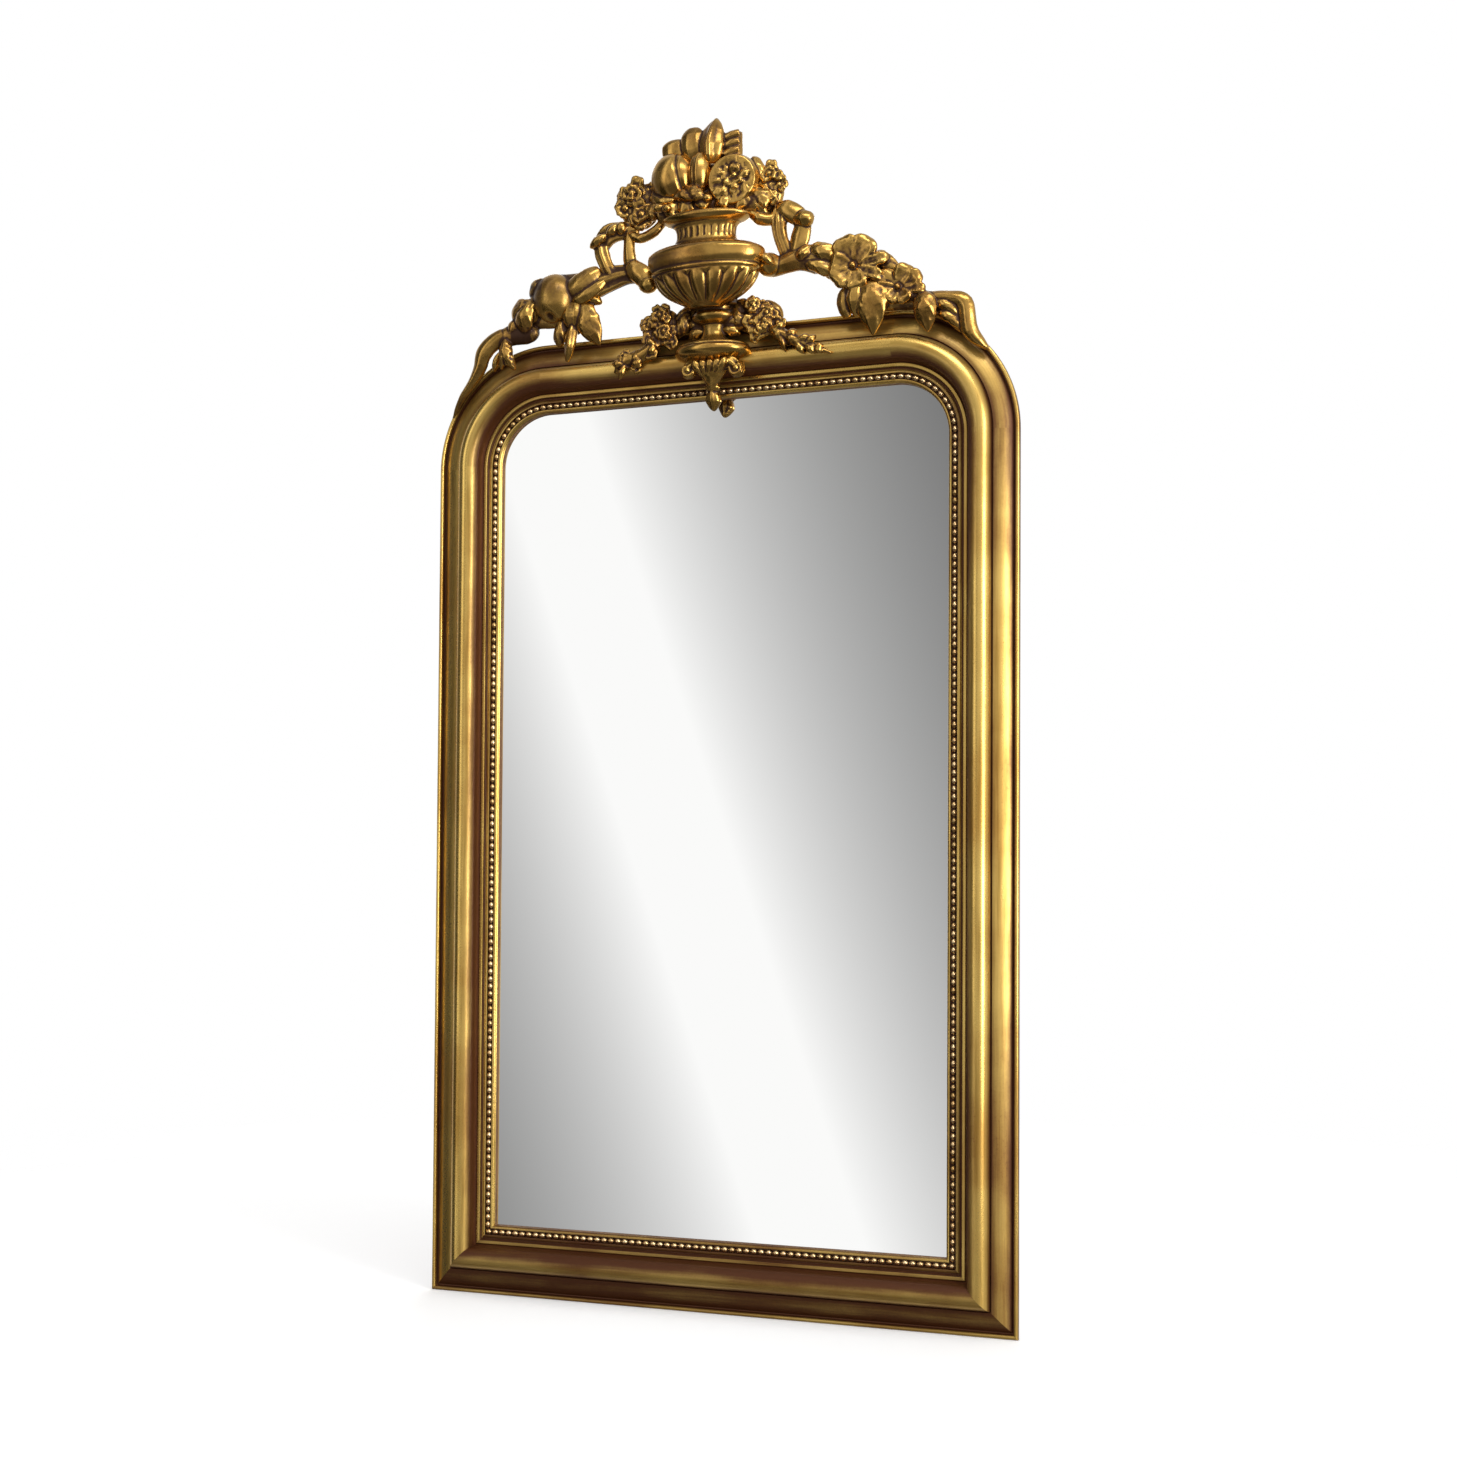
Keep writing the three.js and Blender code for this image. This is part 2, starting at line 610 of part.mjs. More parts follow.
function ball([x, dz, h], [rx, rz, rh], grow) {
  const big = rx > 20;
  const geometry = new THREE.SphereGeometry(1, big ? 12 : 7, big ? 8 : 5);
  geometry.rotateX(Math.PI / 2);
  geometry.scale(rx + grow, rh + grow, rz + grow);
  const c = at(x, h, top(dz));
  return solidFrom(geometry.translate(c.x, c.y, c.z));
}

// A strap, stem or leaf along a smooth line: stations are [x, dz, h, half width, half
// thickness].
function limb(stations, grow, steps = 2, sides = 5) {
  const line = new THREE.CatmullRomCurve3(stations.map(([x, dz, h]) => at(x, h, top(dz))));
  const spans = (stations.length - 1) * steps;
  const section = arcPoints(0, 0, 1, 1, 90, 450 - 360 / sides, sides - 1);
  const rings = [];
  for (let i = 0; i <= spans; i += 1) {
    const t = i / spans;
    const k = Math.min(Math.floor(t * (stations.length - 1)), stations.length - 2);
    const f = t * (stations.length - 1) - k;
    const mix = (n) => stations[k][n] * (1 - f) + stations[k + 1][n] * f + grow;
    const c = line.getPoint(t);
    const along = line.getTangent(t);
    const across = new THREE.Vector3().crossVectors(along, new THREE.Vector3(0, -1, 0)).normalize();
    const out = new THREE.Vector3().crossVectors(across, along).normalize();
    rings.push(
      section.map((p) =>
        c.clone().addScaledVector(across, p.x * mix(3)).addScaledVector(out, p.y * mix(4)),
      ),
    );
  }
  const fan = Array.from({ length: sides - 2 }, (_, i) => [0, i + 1, i + 2]);
  return loft(sides, rings, fan);
}

// A leaf or petal: four-sided, so that its midrib stands proud.
const leaf = (stations, grow) => limb(stations, grow, 2, 4);

// Petals round a heart: each petal is [angle in degrees, length, half width].
function flower([x, dz, h], petals, heartR, grow) {
  const parts = petals.map(([angle, length, width]) => {
    const a = THREE.MathUtils.degToRad(angle);
    const spot = (share, lift, w, t) => [
      x + Math.cos(a) * length * share,
      dz + Math.sin(a) * length * share,
      h + lift,
      w,
      t,
    ];
    return leaf(
      [spot(0.05, 0, width * 0.4, 4), spot(0.6, 3, width * 1.1, 7), spot(1, -1, width * 0.4, 3)],
      grow,
    );
  });
  return union([ball([x, dz, h + 2], [heartR, heartR, heartR], grow), ...parts]);
}

// A turned vase shape, pressed flat from front to back. Its profile is [radius, dz].
function turned(profile, x, h, flat, grow) {
  const first = profile[0][1] - grow;
  const last = profile.at(-1)[1] + grow;
  const points = profile.map(([r, dz], i) => {
    const z = i === 0 ? first : i === profile.length - 1 ? last : dz;
    return p2(r + grow, z);
  });
  const geometry = new THREE.LatheGeometry([p2(0, first), ...points, p2(0, last)], 20);
  geometry.rotateX(Math.PI / 2);
  geometry.scale(1, flat, 1);
  const c = at(x, h, top(0));
  return solidFrom(geometry.translate(c.x, c.y, c.z));
}

const urnProfile = [
  [22, 18.5], [32, 22], [46, 29], [57, 38], [63, 47], [65, 56], [68.5, 64], [72.5, 72.5],
  [70.5, 79], [61, 85], [45, 89], [38, 96], [37, 105], [42, 112], [51, 117], [54, 121],
  [46, 126],
];
const footProfile = [
  [28, -46], [42, -41.5], [47, -34], [41, -27], [21, -21], [12.5, -13], [13.5, -3],
  [23, 3], [26, 9], [23, 18.2],
];

// Where the wings' outer scrolls run out on the frame's edge.
function edgeSpot(s, degrees, inset) {
  const a = THREE.MathUtils.degToRad(degrees);
  const r = CORNER_R - inset;
  return [s * (ARC_X + r * Math.cos(a)), ARC_Z + r * Math.sin(a) - FRAME_H];
}

// The crest's pieces in the order they are set; each is cut clear of those before it.
const crestPieces = {
  urn_body: (g) => turned(urnProfile, URN_X, URN_H, URN_FLAT, g),
  urn_foot: (g) => turned(footProfile, FOOT_X, FOOT_H, FOOT_FLAT, g),
  console_bracket: (g) =>
    union([
      limb([[8, -46, 50, 26, 15], [8, -58, 50, 18, 14], [7, -69, 40, 8, 11], [7, -75, 36, 6, 9]], g),
      ball([-21, -56, 50], [12, 12, 10], g),
      ball([39, -58, 50], [12, 12, 10], g),
      limb([[-2, -47, 52, 8, 9], [-14, -49, 53, 7, 9], [-25, -57, 52, 6, 8]], g),
      limb([[18, -47, 52, 8, 9], [31, -50, 53, 7, 9], [43, -59, 52, 6, 8]], g),
    ]),
  pendant_drop: (g) =>
    union([
      ball([0, -73, 36], [6, 5, 8], g),
      ball([10, -73, 36], [6, 5, 8], g),
      limb([[5, -74, 34, 7, 8], [5, -85, 32, 10, 9], [5, -97.5, 30, 2, 2]], g, 3, 6),
    ]),
  fruit_peach: (g) => ball([-43, 175, 48], [27, 28, 20], g),
  fruit_pomegranate: (g) => ball([33, 162, 50], [32, 33, 20], g),
  fruit_pears: (g) =>
    union([
      ball([-8, 174, 54], [15, 17, 14], g),
      limb([[-24, 158, 52, 5, 8], [-10, 149, 55, 11, 10], [4, 141, 52, 4, 6]], g),
      limb([[-66, 150, 50, 4, 6], [-48, 143, 54, 9, 8], [-30, 145, 52, 4, 6]], g),
      limb([[-56, 132, 48, 12, 12], [0, 132, 50, 14, 14], [56, 132, 48, 12, 12]], g, 1),
      ball([-23, 196, 54], [6, 6, 6], g),
    ]),
  bouquet_leaves: (g) =>
    union([
      leaf([[-34, 192, 42, 12, 8], [-41, 206, 44, 15, 7], [-44, 219, 44, 14, 6]], g),
      leaf([[-15, 190, 44, 12, 9], [-19, 213, 46, 16, 8], [-20, 230, 44, 10, 5]], g),
      leaf([[4, 190, 48, 12, 10], [6, 214, 50, 15, 9], [9, 241, 46, 1.5, 2]], g),
      leaf([[24, 184, 42, 13, 8], [25, 204, 44, 14, 7], [25, 221, 42, 13, 5]], g),
      leaf([[-8, 192, 56, 6, 6], [-12, 206, 58, 9, 5], [-15, 218, 54, 2, 3]], g),
      limb([[-46, 199, 38, 12, 8], [-6, 201, 40, 16, 10], [28, 196, 38, 14, 8]], g),
    ]),
  flowers_left: (g) =>
    union([
      ball([-97, 164, 44], [18, 18, 15], g),
      ball([-106, 151, 42], [13, 14, 12], g),
      ball([-84, 136, 46], [18, 18, 13], g),
      limb([[-104, 118, 42, 5, 6], [-86, 111, 44, 5, 6], [-66, 119, 44, 5, 6], [-56, 132, 42, 5, 6]], g),
      ball([-68, 146, 44], [12, 11, 12], g),
    ]),
  flowers_right: (g) =>
    union([
      ball([75, 168, 44], [14, 15, 14], g),
      ball([85, 154, 42], [11, 13, 12], g),
      ball([76, 143, 44], [13, 13, 12], g),
      limb([[46, 130, 44, 6, 9], [64, 118, 46, 9, 9], [80, 118, 42, 7, 8], [84, 132, 40, 6, 8]], g),
    ]),
  ribbon_left: (g) =>
    union([
      limb([[-92, 123, 38, 8, 8], [-112, 123, 40, 9, 8], [-130, 120, 40, 11, 8], [-142, 107, 38, 9, 7]], g),
      limb([[-141, 112, 38, 8, 7], [-138, 97, 40, 9, 8], [-130, 80, 40, 8, 8], [-124, 68, 38, 7, 8]], g),
      limb([[-103, 126, 40, 6, 6], [-103, 100, 40, 5.5, 6], [-102, 78, 40, 8, 6]], g),
      limb([[-103, 80, 40, 8, 7], [-92, 73, 42, 11, 8], [-82, 64, 42, 12, 8], [-78, 56, 42, 9, 8]], g),
      ball([-78, 54, 43], [12, 10, 10], g),
      limb([[-88, 68, 38, 8, 8], [-108, 71, 38, 10, 9], [-130, 68, 38, 13, 10], [-160, 62, 38, 15, 12]], g),
      limb([[-132, 60, 40, 8, 9], [-150, 50, 42, 10, 9], [-146, 40, 40, 5, 6]], g),
    ]),
  apple_left: (g) =>
    union([
      ball([-201, 50, 42], [28, 31, 20], g),
      limb([[-212, 62, 40, 8, 8], [-226, 58, 42, 9, 8], [-234, 54, 38, 5, 6]], g),
      limb([[-176, 58, 40, 12, 12], [-160, 60, 40, 12, 12]], g),
    ]),
  hanging_leaves_left: (g) =>
    union([
      leaf([[-174, 46, 40, 7, 8], [-175, 28, 44, 9, 7], [-178, 8, 42, 6, 6]], g),
      leaf([[-166, 40, 40, 8, 8], [-153, 16, 44, 14, 7], [-141, -9, 40, 2, 3]], g),
      leaf([[-178, 14, 42, 6, 7], [-181, -10, 42, 7, 6], [-184, -28, 40, 2, 3]], g),
      leaf([[-190, 22, 38, 7, 8], [-195, 6, 38, 6, 7], [-197, -8, 38, 4, 6]], g),
    ]),
  branch_left: (g) =>
    union([
      limb([[-222, 44, 40, 9, 9], [-243, 40, 44, 12, 8], [-258, 42, 40, 4, 4]], g),
      limb([[-230, 46, 42, 8, 8], [-238, 26, 46, 11, 8], [-234, 10, 42, 6, 7]], g),
      limb([[-206, 18, 38, 8, 9], [-236, 14, 38, 10, 10], [-262, 12, 38, 9, 9], [-284, 2, 38, 8, 8]], g),
      limb(
        [
          [-268, 10, 38, 7, 8],
          [-292, 0, 40, 7, 8],
          [-303, -18, 40, 7, 8],
          [...edgeSpot(-1, 48, 4), 36, 6, 8],
          [...edgeSpot(-1, 38, 3), 30, 3, 6],
        ],
        g,
      ),
      limb([[-266, 4, 40, 7, 9], [-265, -14, 42, 8, 8], [-257, -31, 38, 3, 4]], g),
    ]),
  straps_right: (g) =>
    union([
      limb([[84, 132, 38, 7, 7], [86, 106, 40, 7, 7], [89, 88, 40, 7, 7], [98, 66, 38, 7, 7]], g),
      limb([[118, 112, 40, 8, 7], [112, 88, 40, 9, 7], [102, 64, 38, 8, 7]], g),
      limb([[80, 126, 38, 8, 8], [95, 124, 41, 12, 8], [108, 116, 41, 12, 8], [118, 109, 40, 8, 7]], g),
      ball([120, 109, 43], [11, 9, 9], g),
      ball([75, 63, 44], [16, 15, 13], g),
      limb([[64, 56, 40, 8, 10], [92, 62, 40, 9, 10], [116, 66, 38, 12, 11], [150, 62, 38, 13, 12]], g),
    ]),
  lily_large: (g) =>
    union([
      flower(
        [172, 54, 44],
        [[110, 33, 13], [40, 35, 14], [-34, 42, 12], [-70, 31, 13], [-124, 29, 14], [160, 22, 10]],
        7,
        g,
      ),
      limb([[148, 60, 38, 15, 11], [172, 48, 36, 20, 11], [202, 34, 36, 16, 10]], g),
    ]),
  hanging_leaves_right: (g) =>
    union([
      leaf([[194, 34, 38, 9, 9], [199, -4, 44, 12, 7], [199, -31, 40, 2, 3]], g),
      leaf([[178, 28, 38, 9, 9], [176, 6, 42, 8, 7], [174, -8, 40, 4, 4]], g),
      leaf([[170, 26, 36, 9, 9], [165, 8, 37, 8, 9], [170, -6, 38, 7, 7]], g),
    ]),
  scroll_right: (g) =>
    union([
      flower([224, 26, 44], [[30, 26, 10], [-20, 28, 10], [-75, 20, 8], [-150, 18, 8], [120, 16, 8]], 6, g),
      limb([[196, 46, 38, 9, 9], [214, 36, 40, 14, 9], [232, 24, 38, 10, 9]], g),
      limb([[248, 16, 38, 8, 9], [259, -8, 44, 10, 7], [264, -31, 40, 2, 3]], g),
      limb(
        [
          [222, 16, 38, 10, 9],
          [258, 6, 38, 6, 8],
          [287, 4, 36, 5, 8],
          [306, -4, 36, 6, 8],
          [...edgeSpot(1, 49, 0), 36, 7, 8],
          [...edgeSpot(1, 38, 3), 30, 3, 6],
        ],
        g,
      ),
    ]),
  garland_low_left: (g) =>
    union([
      ball([-62, 18, 42], [13, 12, 14], g),
      ball([-74, 8, 42], [13, 12, 13], g),
      ball([-56, -3, 44], [13, 13, 14], g),
      ball([-70, -12, 42], [11, 11, 12], g),
      ball([-48, -14, 44], [9, 8, 10], g),
      limb([[-66, -20, 44, 8, 12], [-84, -30, 44, 10, 11], [-106, -35, 46, 10, 9], [-122, -50, 46, 4, 5]], g),
      leaf([[-46, -8, 38, 8, 8], [-32, 4, 38, 12, 9], [-28, 24, 36, 7, 6]], g),
    ]),
  garland_low_right: (g) =>
    union([
      ball([57, 16, 42], [12, 12, 13], g),
      ball([72, 8, 42], [12, 12, 13], g),
      ball([70, -8, 44], [13, 13, 14], g),
      ball([54, -2, 44], [11, 12, 13], g),
      ball([85, -6, 42], [8, 9, 10], g),
      limb([[78, -14, 42, 9, 12], [98, -24, 44, 9, 11], [118, -34, 46, 11, 9], [154, -48, 47, 2, 4]], g),
      limb([[88, -12, 42, 4, 9], [92, -26, 42, 5, 9], [96, -40, 46, 2, 5]], g),
      leaf([[50, -8, 38, 8, 8], [34, 4, 38, 12, 9], [36, 28, 36, 7, 6]], g),
    ]),
};

const crestBackCut = box(-HALF_W, HALF_W, -WALL_GAP * 2, CREST_BACK_H, top(-CORNER_R), top(400));
const behindCut = { pendant_drop: false };
const before = [];
for (const [name, shape] of Object.entries(crestPieces)) {
  let solid = shape(0).subtract(crestClearance);
  if (behindCut[name] !== false) solid = solid.subtract(crestBackCut);
  for (const neighbour of before) solid = solid.subtract(neighbour(GAP));
  addMesh(name, mainBody(solid), crestGold);
  before.push(shape);
}

// A wooden strut behind the urn carries the crest: its tongue is screwed to the rail.
const strut = union([
  box(STRUT_X - STRUT_W / 2, STRUT_X + STRUT_W / 2, -WALL_GAP, -GAP, top(-STRUT_REACH), top(1)),
  box(STRUT_X - STRUT_W / 2, STRUT_X + STRUT_W / 2, -WALL_GAP, CREST_BACK_H - GAP, top(1), top(STRUT_RISE)),
]);
addMesh("crest_strut", strut.subtract(railScrew(GAP)), pine);
addMesh("strut_screw", railScrew(0), steel);

export default mirror;
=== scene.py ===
import math

import bpy
import numpy as np
from mathutils import Matrix, Vector, noise


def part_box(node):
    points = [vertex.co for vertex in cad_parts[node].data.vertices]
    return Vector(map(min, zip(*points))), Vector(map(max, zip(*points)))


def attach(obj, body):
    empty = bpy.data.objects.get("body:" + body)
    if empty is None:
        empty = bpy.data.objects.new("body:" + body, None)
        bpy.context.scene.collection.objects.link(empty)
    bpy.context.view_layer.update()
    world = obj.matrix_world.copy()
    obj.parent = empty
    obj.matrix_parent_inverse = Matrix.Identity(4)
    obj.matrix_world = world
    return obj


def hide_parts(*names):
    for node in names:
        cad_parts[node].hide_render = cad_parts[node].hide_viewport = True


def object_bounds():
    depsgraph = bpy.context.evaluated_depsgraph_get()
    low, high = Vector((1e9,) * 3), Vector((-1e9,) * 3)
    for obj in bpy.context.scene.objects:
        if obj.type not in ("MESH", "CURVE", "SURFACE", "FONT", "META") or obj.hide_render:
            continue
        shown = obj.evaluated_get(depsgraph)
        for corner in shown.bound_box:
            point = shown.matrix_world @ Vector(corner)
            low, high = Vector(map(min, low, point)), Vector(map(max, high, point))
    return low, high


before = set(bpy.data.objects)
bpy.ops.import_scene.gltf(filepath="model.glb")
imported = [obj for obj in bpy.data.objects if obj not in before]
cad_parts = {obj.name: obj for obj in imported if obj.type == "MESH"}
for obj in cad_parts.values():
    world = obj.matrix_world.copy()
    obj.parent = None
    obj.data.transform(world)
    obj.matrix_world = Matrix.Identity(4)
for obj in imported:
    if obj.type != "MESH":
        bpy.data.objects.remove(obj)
solid_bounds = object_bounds()
MM = 0.001

# ------------------------------------------------------------------------------ camera
# Someone stands to the right of the mirror and looks slightly up at it, through a short
# telephoto lens that is shifted so that the picture keeps its uprights nearly parallel.
EYE = Vector((0.9017, -2.2982, -0.0841))
TURN, TILT, ROLL = math.radians(21.86), math.radians(1.84), math.radians(0.39)
LENS_MM = 51.61

ahead = Vector((
    -math.sin(TURN) * math.cos(TILT),
    math.cos(TURN) * math.cos(TILT),
    math.sin(TILT),
))
level_right = Vector((math.cos(TURN), math.sin(TURN), 0))
level_up = level_right.cross(ahead)
eye_right = math.cos(ROLL) * level_right + math.sin(ROLL) * level_up
eye_up = math.cos(ROLL) * level_up - math.sin(ROLL) * level_right

camera = bpy.data.objects.new("camera", bpy.data.cameras.new("camera"))
camera.data.sensor_width = 36
camera.data.lens = LENS_MM
camera.data.shift_x = 0.0157
camera.data.shift_y = 0.0642
looking = Matrix((eye_right, eye_up, -ahead)).transposed().to_4x4()
camera.matrix_world = Matrix.Translation(EYE) @ looking
bpy.context.scene.collection.objects.link(camera)
bpy.context.scene.camera = camera
bpy.context.scene.view_settings.view_transform = "Standard"

# ------------------------------------------------------------------------------ studio
# A pale floor that runs out softly into the white room round it. The room is white behind
# the mirror; in front of it the light falls off to both sides of one bright slanting band,
# which is what the silvered plate throws back.


class Wire:
    """One value in a material. Sums and products of values are written as they are read."""

    def __init__(self, tree, socket=None):
        self.tree = tree
        self.socket = socket

    def node(self, kind, settings=None, sockets=None, out=0):
        made = self.tree.nodes.new("ShaderNode" + kind)
        for key, value in (settings or {}).items():
            setattr(made, key, value)
        for key, value in (sockets or {}).items():
            if isinstance(value, Wire):
                self.tree.links.new(value.socket, made.inputs[key])
            else:
                made.inputs[key].default_value = value
        return Wire(self.tree, made.outputs[out])

    def maths(self, operation, first, second=0.0):
        return self.node("Math", {"operation": operation}, {0: first, 1: second})

    def __add__(self, other):
        return self.maths("ADD", self, other)

    def __sub__(self, other):
        return self.maths("SUBTRACT", self, other)

    def __rsub__(self, other):
        return self.maths("SUBTRACT", other, self)

    def __mul__(self, other):
        return self.maths("MULTIPLY", self, other)

    def __truediv__(self, other):
        return self.maths("DIVIDE", self, other)

    def __abs__(self):
        return self.maths("ABSOLUTE", self)

    __radd__ = __add__
    __rmul__ = __mul__

    def between(self, low, high, to_low=0.0, to_high=1.0):
        """0 below low, 1 above high and a soft step between them, or to_low and to_high."""
        return self.node(
            "MapRange",
            {"interpolation_type": "SMOOTHSTEP"},
            {"Value": self, 1: low, 2: high, 3: to_low, 4: to_high},
        )

    def mix(self, none, full):
        """The colour none where this value is 0, and full where it is 1."""
        return self.node("Mix", {"data_type": "RGBA"}, {0: self, 6: none, 7: full}, out=2)

    def grain(self, scale, detail=3.0, stretch=(1, 1, 1), roughness=0.5):
        """Cloudy noise over this place; stretch is how many times finer it is each way."""
        place = self.node("VectorMath", {"operation": "MULTIPLY"}, {0: self, 1: stretch})
        settings = {"Vector": place, "Scale": scale, "Detail": detail, "Roughness": roughness}
        return self.node("TexNoise", None, settings)


def paint(red, green, blue):
    """A colour as it is seen, 0 to 255, in the linear numbers that a shader works in."""
    seen = [c / 255 for c in (red, green, blue)]
    return tuple(c / 12.92 if c < 0.04045 else ((c + 0.055) / 1.055) ** 2.4 for c in seen) + (1,)


def new_material(name):
    made = bpy.data.materials.new(name)
    made.use_nodes = True
    made.node_tree.nodes.remove(made.node_tree.nodes["Principled BSDF"])
    return made, Wire(made.node_tree)


def show(made, shader):
    """Joins a shader to its material's output."""
    made.node_tree.links.new(shader.socket, made.node_tree.nodes["Material Output"].inputs[0])


def surface(made, wire, **sockets):
    """Puts one Principled shader on the material; socket names are written with _ for space."""
    named = {key.replace("_", " "): value for key, value in sockets.items()}
    show(made, wire.node("BsdfPrincipled", None, named))
    return made


FLOOR_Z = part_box("rail_bottom")[0].z - 0.2 * MM
FLOOR_R = 3.2
FLOOR_FADE = (0.8, 2.3)
FLOOR_WHITE = 0.8
FLOOR_SIDES = 96

floor_mesh = bpy.data.meshes.new("floor")
turns = [math.tau * i / FLOOR_SIDES for i in range(FLOOR_SIDES)]
rim = [(FLOOR_R * math.cos(a), FLOOR_R * math.sin(a), FLOOR_Z) for a in turns]
floor_mesh.from_pydata(rim, [], [range(FLOOR_SIDES)])
floor = bpy.data.objects.new("floor", floor_mesh)
bpy.context.scene.collection.objects.link(floor)

floor_paint, wire = new_material("floor_paint")
place = wire.node("TexCoord", None, None, out=3)
far = wire.node("VectorMath", {"operation": "LENGTH"}, {0: place}, out=1)
camera_ray = wire.node("LightPath", None, None, out=0)
glossy_ray = wire.node("LightPath", None, None, out=3)
lit = wire.node("BsdfDiffuse", None, {"Color": (FLOOR_WHITE, FLOOR_WHITE, FLOOR_WHITE, 1)})
glow = wire.node("Emission", None, {"Strength": camera_ray * 0.3})
ground = wire.node("AddShader", None, {0: lit, 1: glow})
open_air = wire.node("BsdfTransparent")
shown = (1 - far.between(*FLOOR_FADE)) * (1 - glossy_ray)
laid = wire.node("MixShader", None, {0: shown, 1: open_air, 2: ground})
show(floor_paint, laid)
floor.data.materials.append(floor_paint)

# The room: white to the camera and to plain light. What gold and glass throw back is bright
# from the front and the right, dark from the left and from low down, and slants from white
# to grey both ways in the part of the room that the plate shows.
BAND_SIDE, BAND_UP, BAND_AT = 4.51, 1.66, 1.84
BAND_HALF, BAND_FALL = 0.13, -1.8
GLASS_SIDE, GLASS_SIDE_HALF = -0.39, 0.15
GLASS_UP, GLASS_UP_HALF = 0.035, 0.24
ROOM_LEVEL = 0.62
room = bpy.data.worlds.new("room")
room.use_nodes = True
bpy.context.scene.world = room
wire = Wire(room.node_tree)
parts = wire.node("SeparateXYZ", None, {0: wire.node("TexCoord")})
side_way, back_way, up_way = (Wire(room.node_tree, s) for s in parts.socket.node.outputs)
front_way = wire.maths("MAXIMUM", back_way * -1, 0.12)
slope_side = side_way / front_way
slope_up = up_way / front_way
off_band = abs(slope_side * BAND_SIDE + slope_up * BAND_UP + BAND_AT) - BAND_HALF
band = wire.maths("EXPONENT", wire.maths("MAXIMUM", off_band, 0.0) * BAND_FALL)
in_glass = (
    (1 - abs(slope_side - GLASS_SIDE).between(GLASS_SIDE_HALF, GLASS_SIDE_HALF + 0.12))
    * (1 - abs(slope_up - GLASS_UP).between(GLASS_UP_HALF, GLASS_UP_HALF + 0.1))
    * (back_way * -1).between(0.2, 0.4)
)
curtain = slope_side.between(-1.1, -0.85) * (1 - slope_side.between(-0.62, -0.5)) * 1.5
sunny = side_way.between(-0.6, -0.2, 0.1, 0.75) + side_way.between(0.1, 0.9) * 0.35 + curtain
wall_light = sunny * up_way.between(-0.3, -0.02, 0.18, 1.0) * (1 - up_way.between(0.2, 0.9) * 0.35)
around = wall_light * (1 - back_way.between(-0.2, 0.3)) + back_way.between(-0.2, 0.3) * 0.7
gloss_level = in_glass * band + (1 - in_glass) * around
white = wire.node("LightPath", None, None, out=0)
glossy = wire.node("LightPath", None, None, out=3)
strength = white + glossy * gloss_level + (1 - white) * (1 - glossy) * ROOM_LEVEL
back = room.node_tree.nodes["Background"]
back.inputs["Color"].default_value = (1, 1, 1, 1)
room.node_tree.links.new(strength.socket, back.inputs["Strength"])


def lamp(name, place, aim, size, watts):
    """A soft rectangular light that shines at the place aim."""
    data = bpy.data.lights.new(name, "AREA")
    data.shape = "RECTANGLE"
    data.size, data.size_y = size
    data.energy = watts
    made = bpy.data.objects.new(name, data)
    made.location = place
    made.rotation_euler = (Vector(aim) - Vector(place)).to_track_quat("-Z", "Y").to_euler()
    bpy.context.scene.collection.objects.link(made)


lamp("right_window", (2.3, -1.5, 0.45), (0, 0, 0.1), (0.9, 1.9), 40)
lamp("upper_light", (0.8, -1.3, 2.2), (0, 0, 0.4), (1.6, 0.7), 17)
lamp("back_light", (-0.8, 2.4, 1.2), (0, 0, 0), (1.6, 1.6), 26)

# -------------------------------------------------------------------- the gilt moulding
# Six members of carved and planed pine under gesso and burnished leaf: two stiles and a
# bottom rail mitred together, and two round corner blocks dowelled to a top rail. A brown
# glaze has been wiped off the high parts and left in the grooves, painted shade darkens the
# torus's inner flank and parts of some members, and the raw wood shows behind. The joints of
# the upper corners lie under the gesso.
FRAME_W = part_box("rail_bottom")[1].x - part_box("rail_bottom")[0].x
FRAME_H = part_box("rail_top")[1].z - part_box("rail_bottom")[0].z
HALF_W = FRAME_W / 2
CORNER_R = 145 * MM
ARC_X = HALF_W - CORNER_R
ARC_Z = FRAME_H - CORNER_R
WALL_GAP = 7 * MM  # from the wall to the back of the frame
STEP_L = 6 * MM  # length of one slice of a member


def at(x, h, z):
    """A place by its offset to the right, height off the frame's back and off its foot."""
    return Vector((x, -(WALL_GAP + h), z - FRAME_H / 2))


def arc(u, h, across, rise, start, end, steps, glazes):
    """Part of an ellipse on the moulding's face, in mm, with how much brown glazing, in places
    painted shade, lies along it.
    """
    made = []
    for i in range(steps + 1):
        t = i / steps
        a = math.radians(start + (end - start) * t)
        glaze_and_shade = np.interp(t, np.linspace(0, 1, len(glazes)), glazes)
        made.append((u + across * math.cos(a), h + rise * math.sin(a), glaze_and_shade))
    return made


def bow(first, last, rise, steps, glazes):
    """A gently rounded slope from one point of the face to another."""
    made = []
    run, climb = last[0] - first[0], last[1] - first[1]
    for i in range(steps + 1):
        t = i / steps
        out = rise * 4 * t * (1 - t) / math.hypot(run, climb)
        glaze_and_shade = np.interp(t, np.linspace(0, 1, len(glazes)), glazes)
        made.append((first[0] + run * t - climb * out, first[1] + climb * t + run * out, glaze_and_shade))
    return made
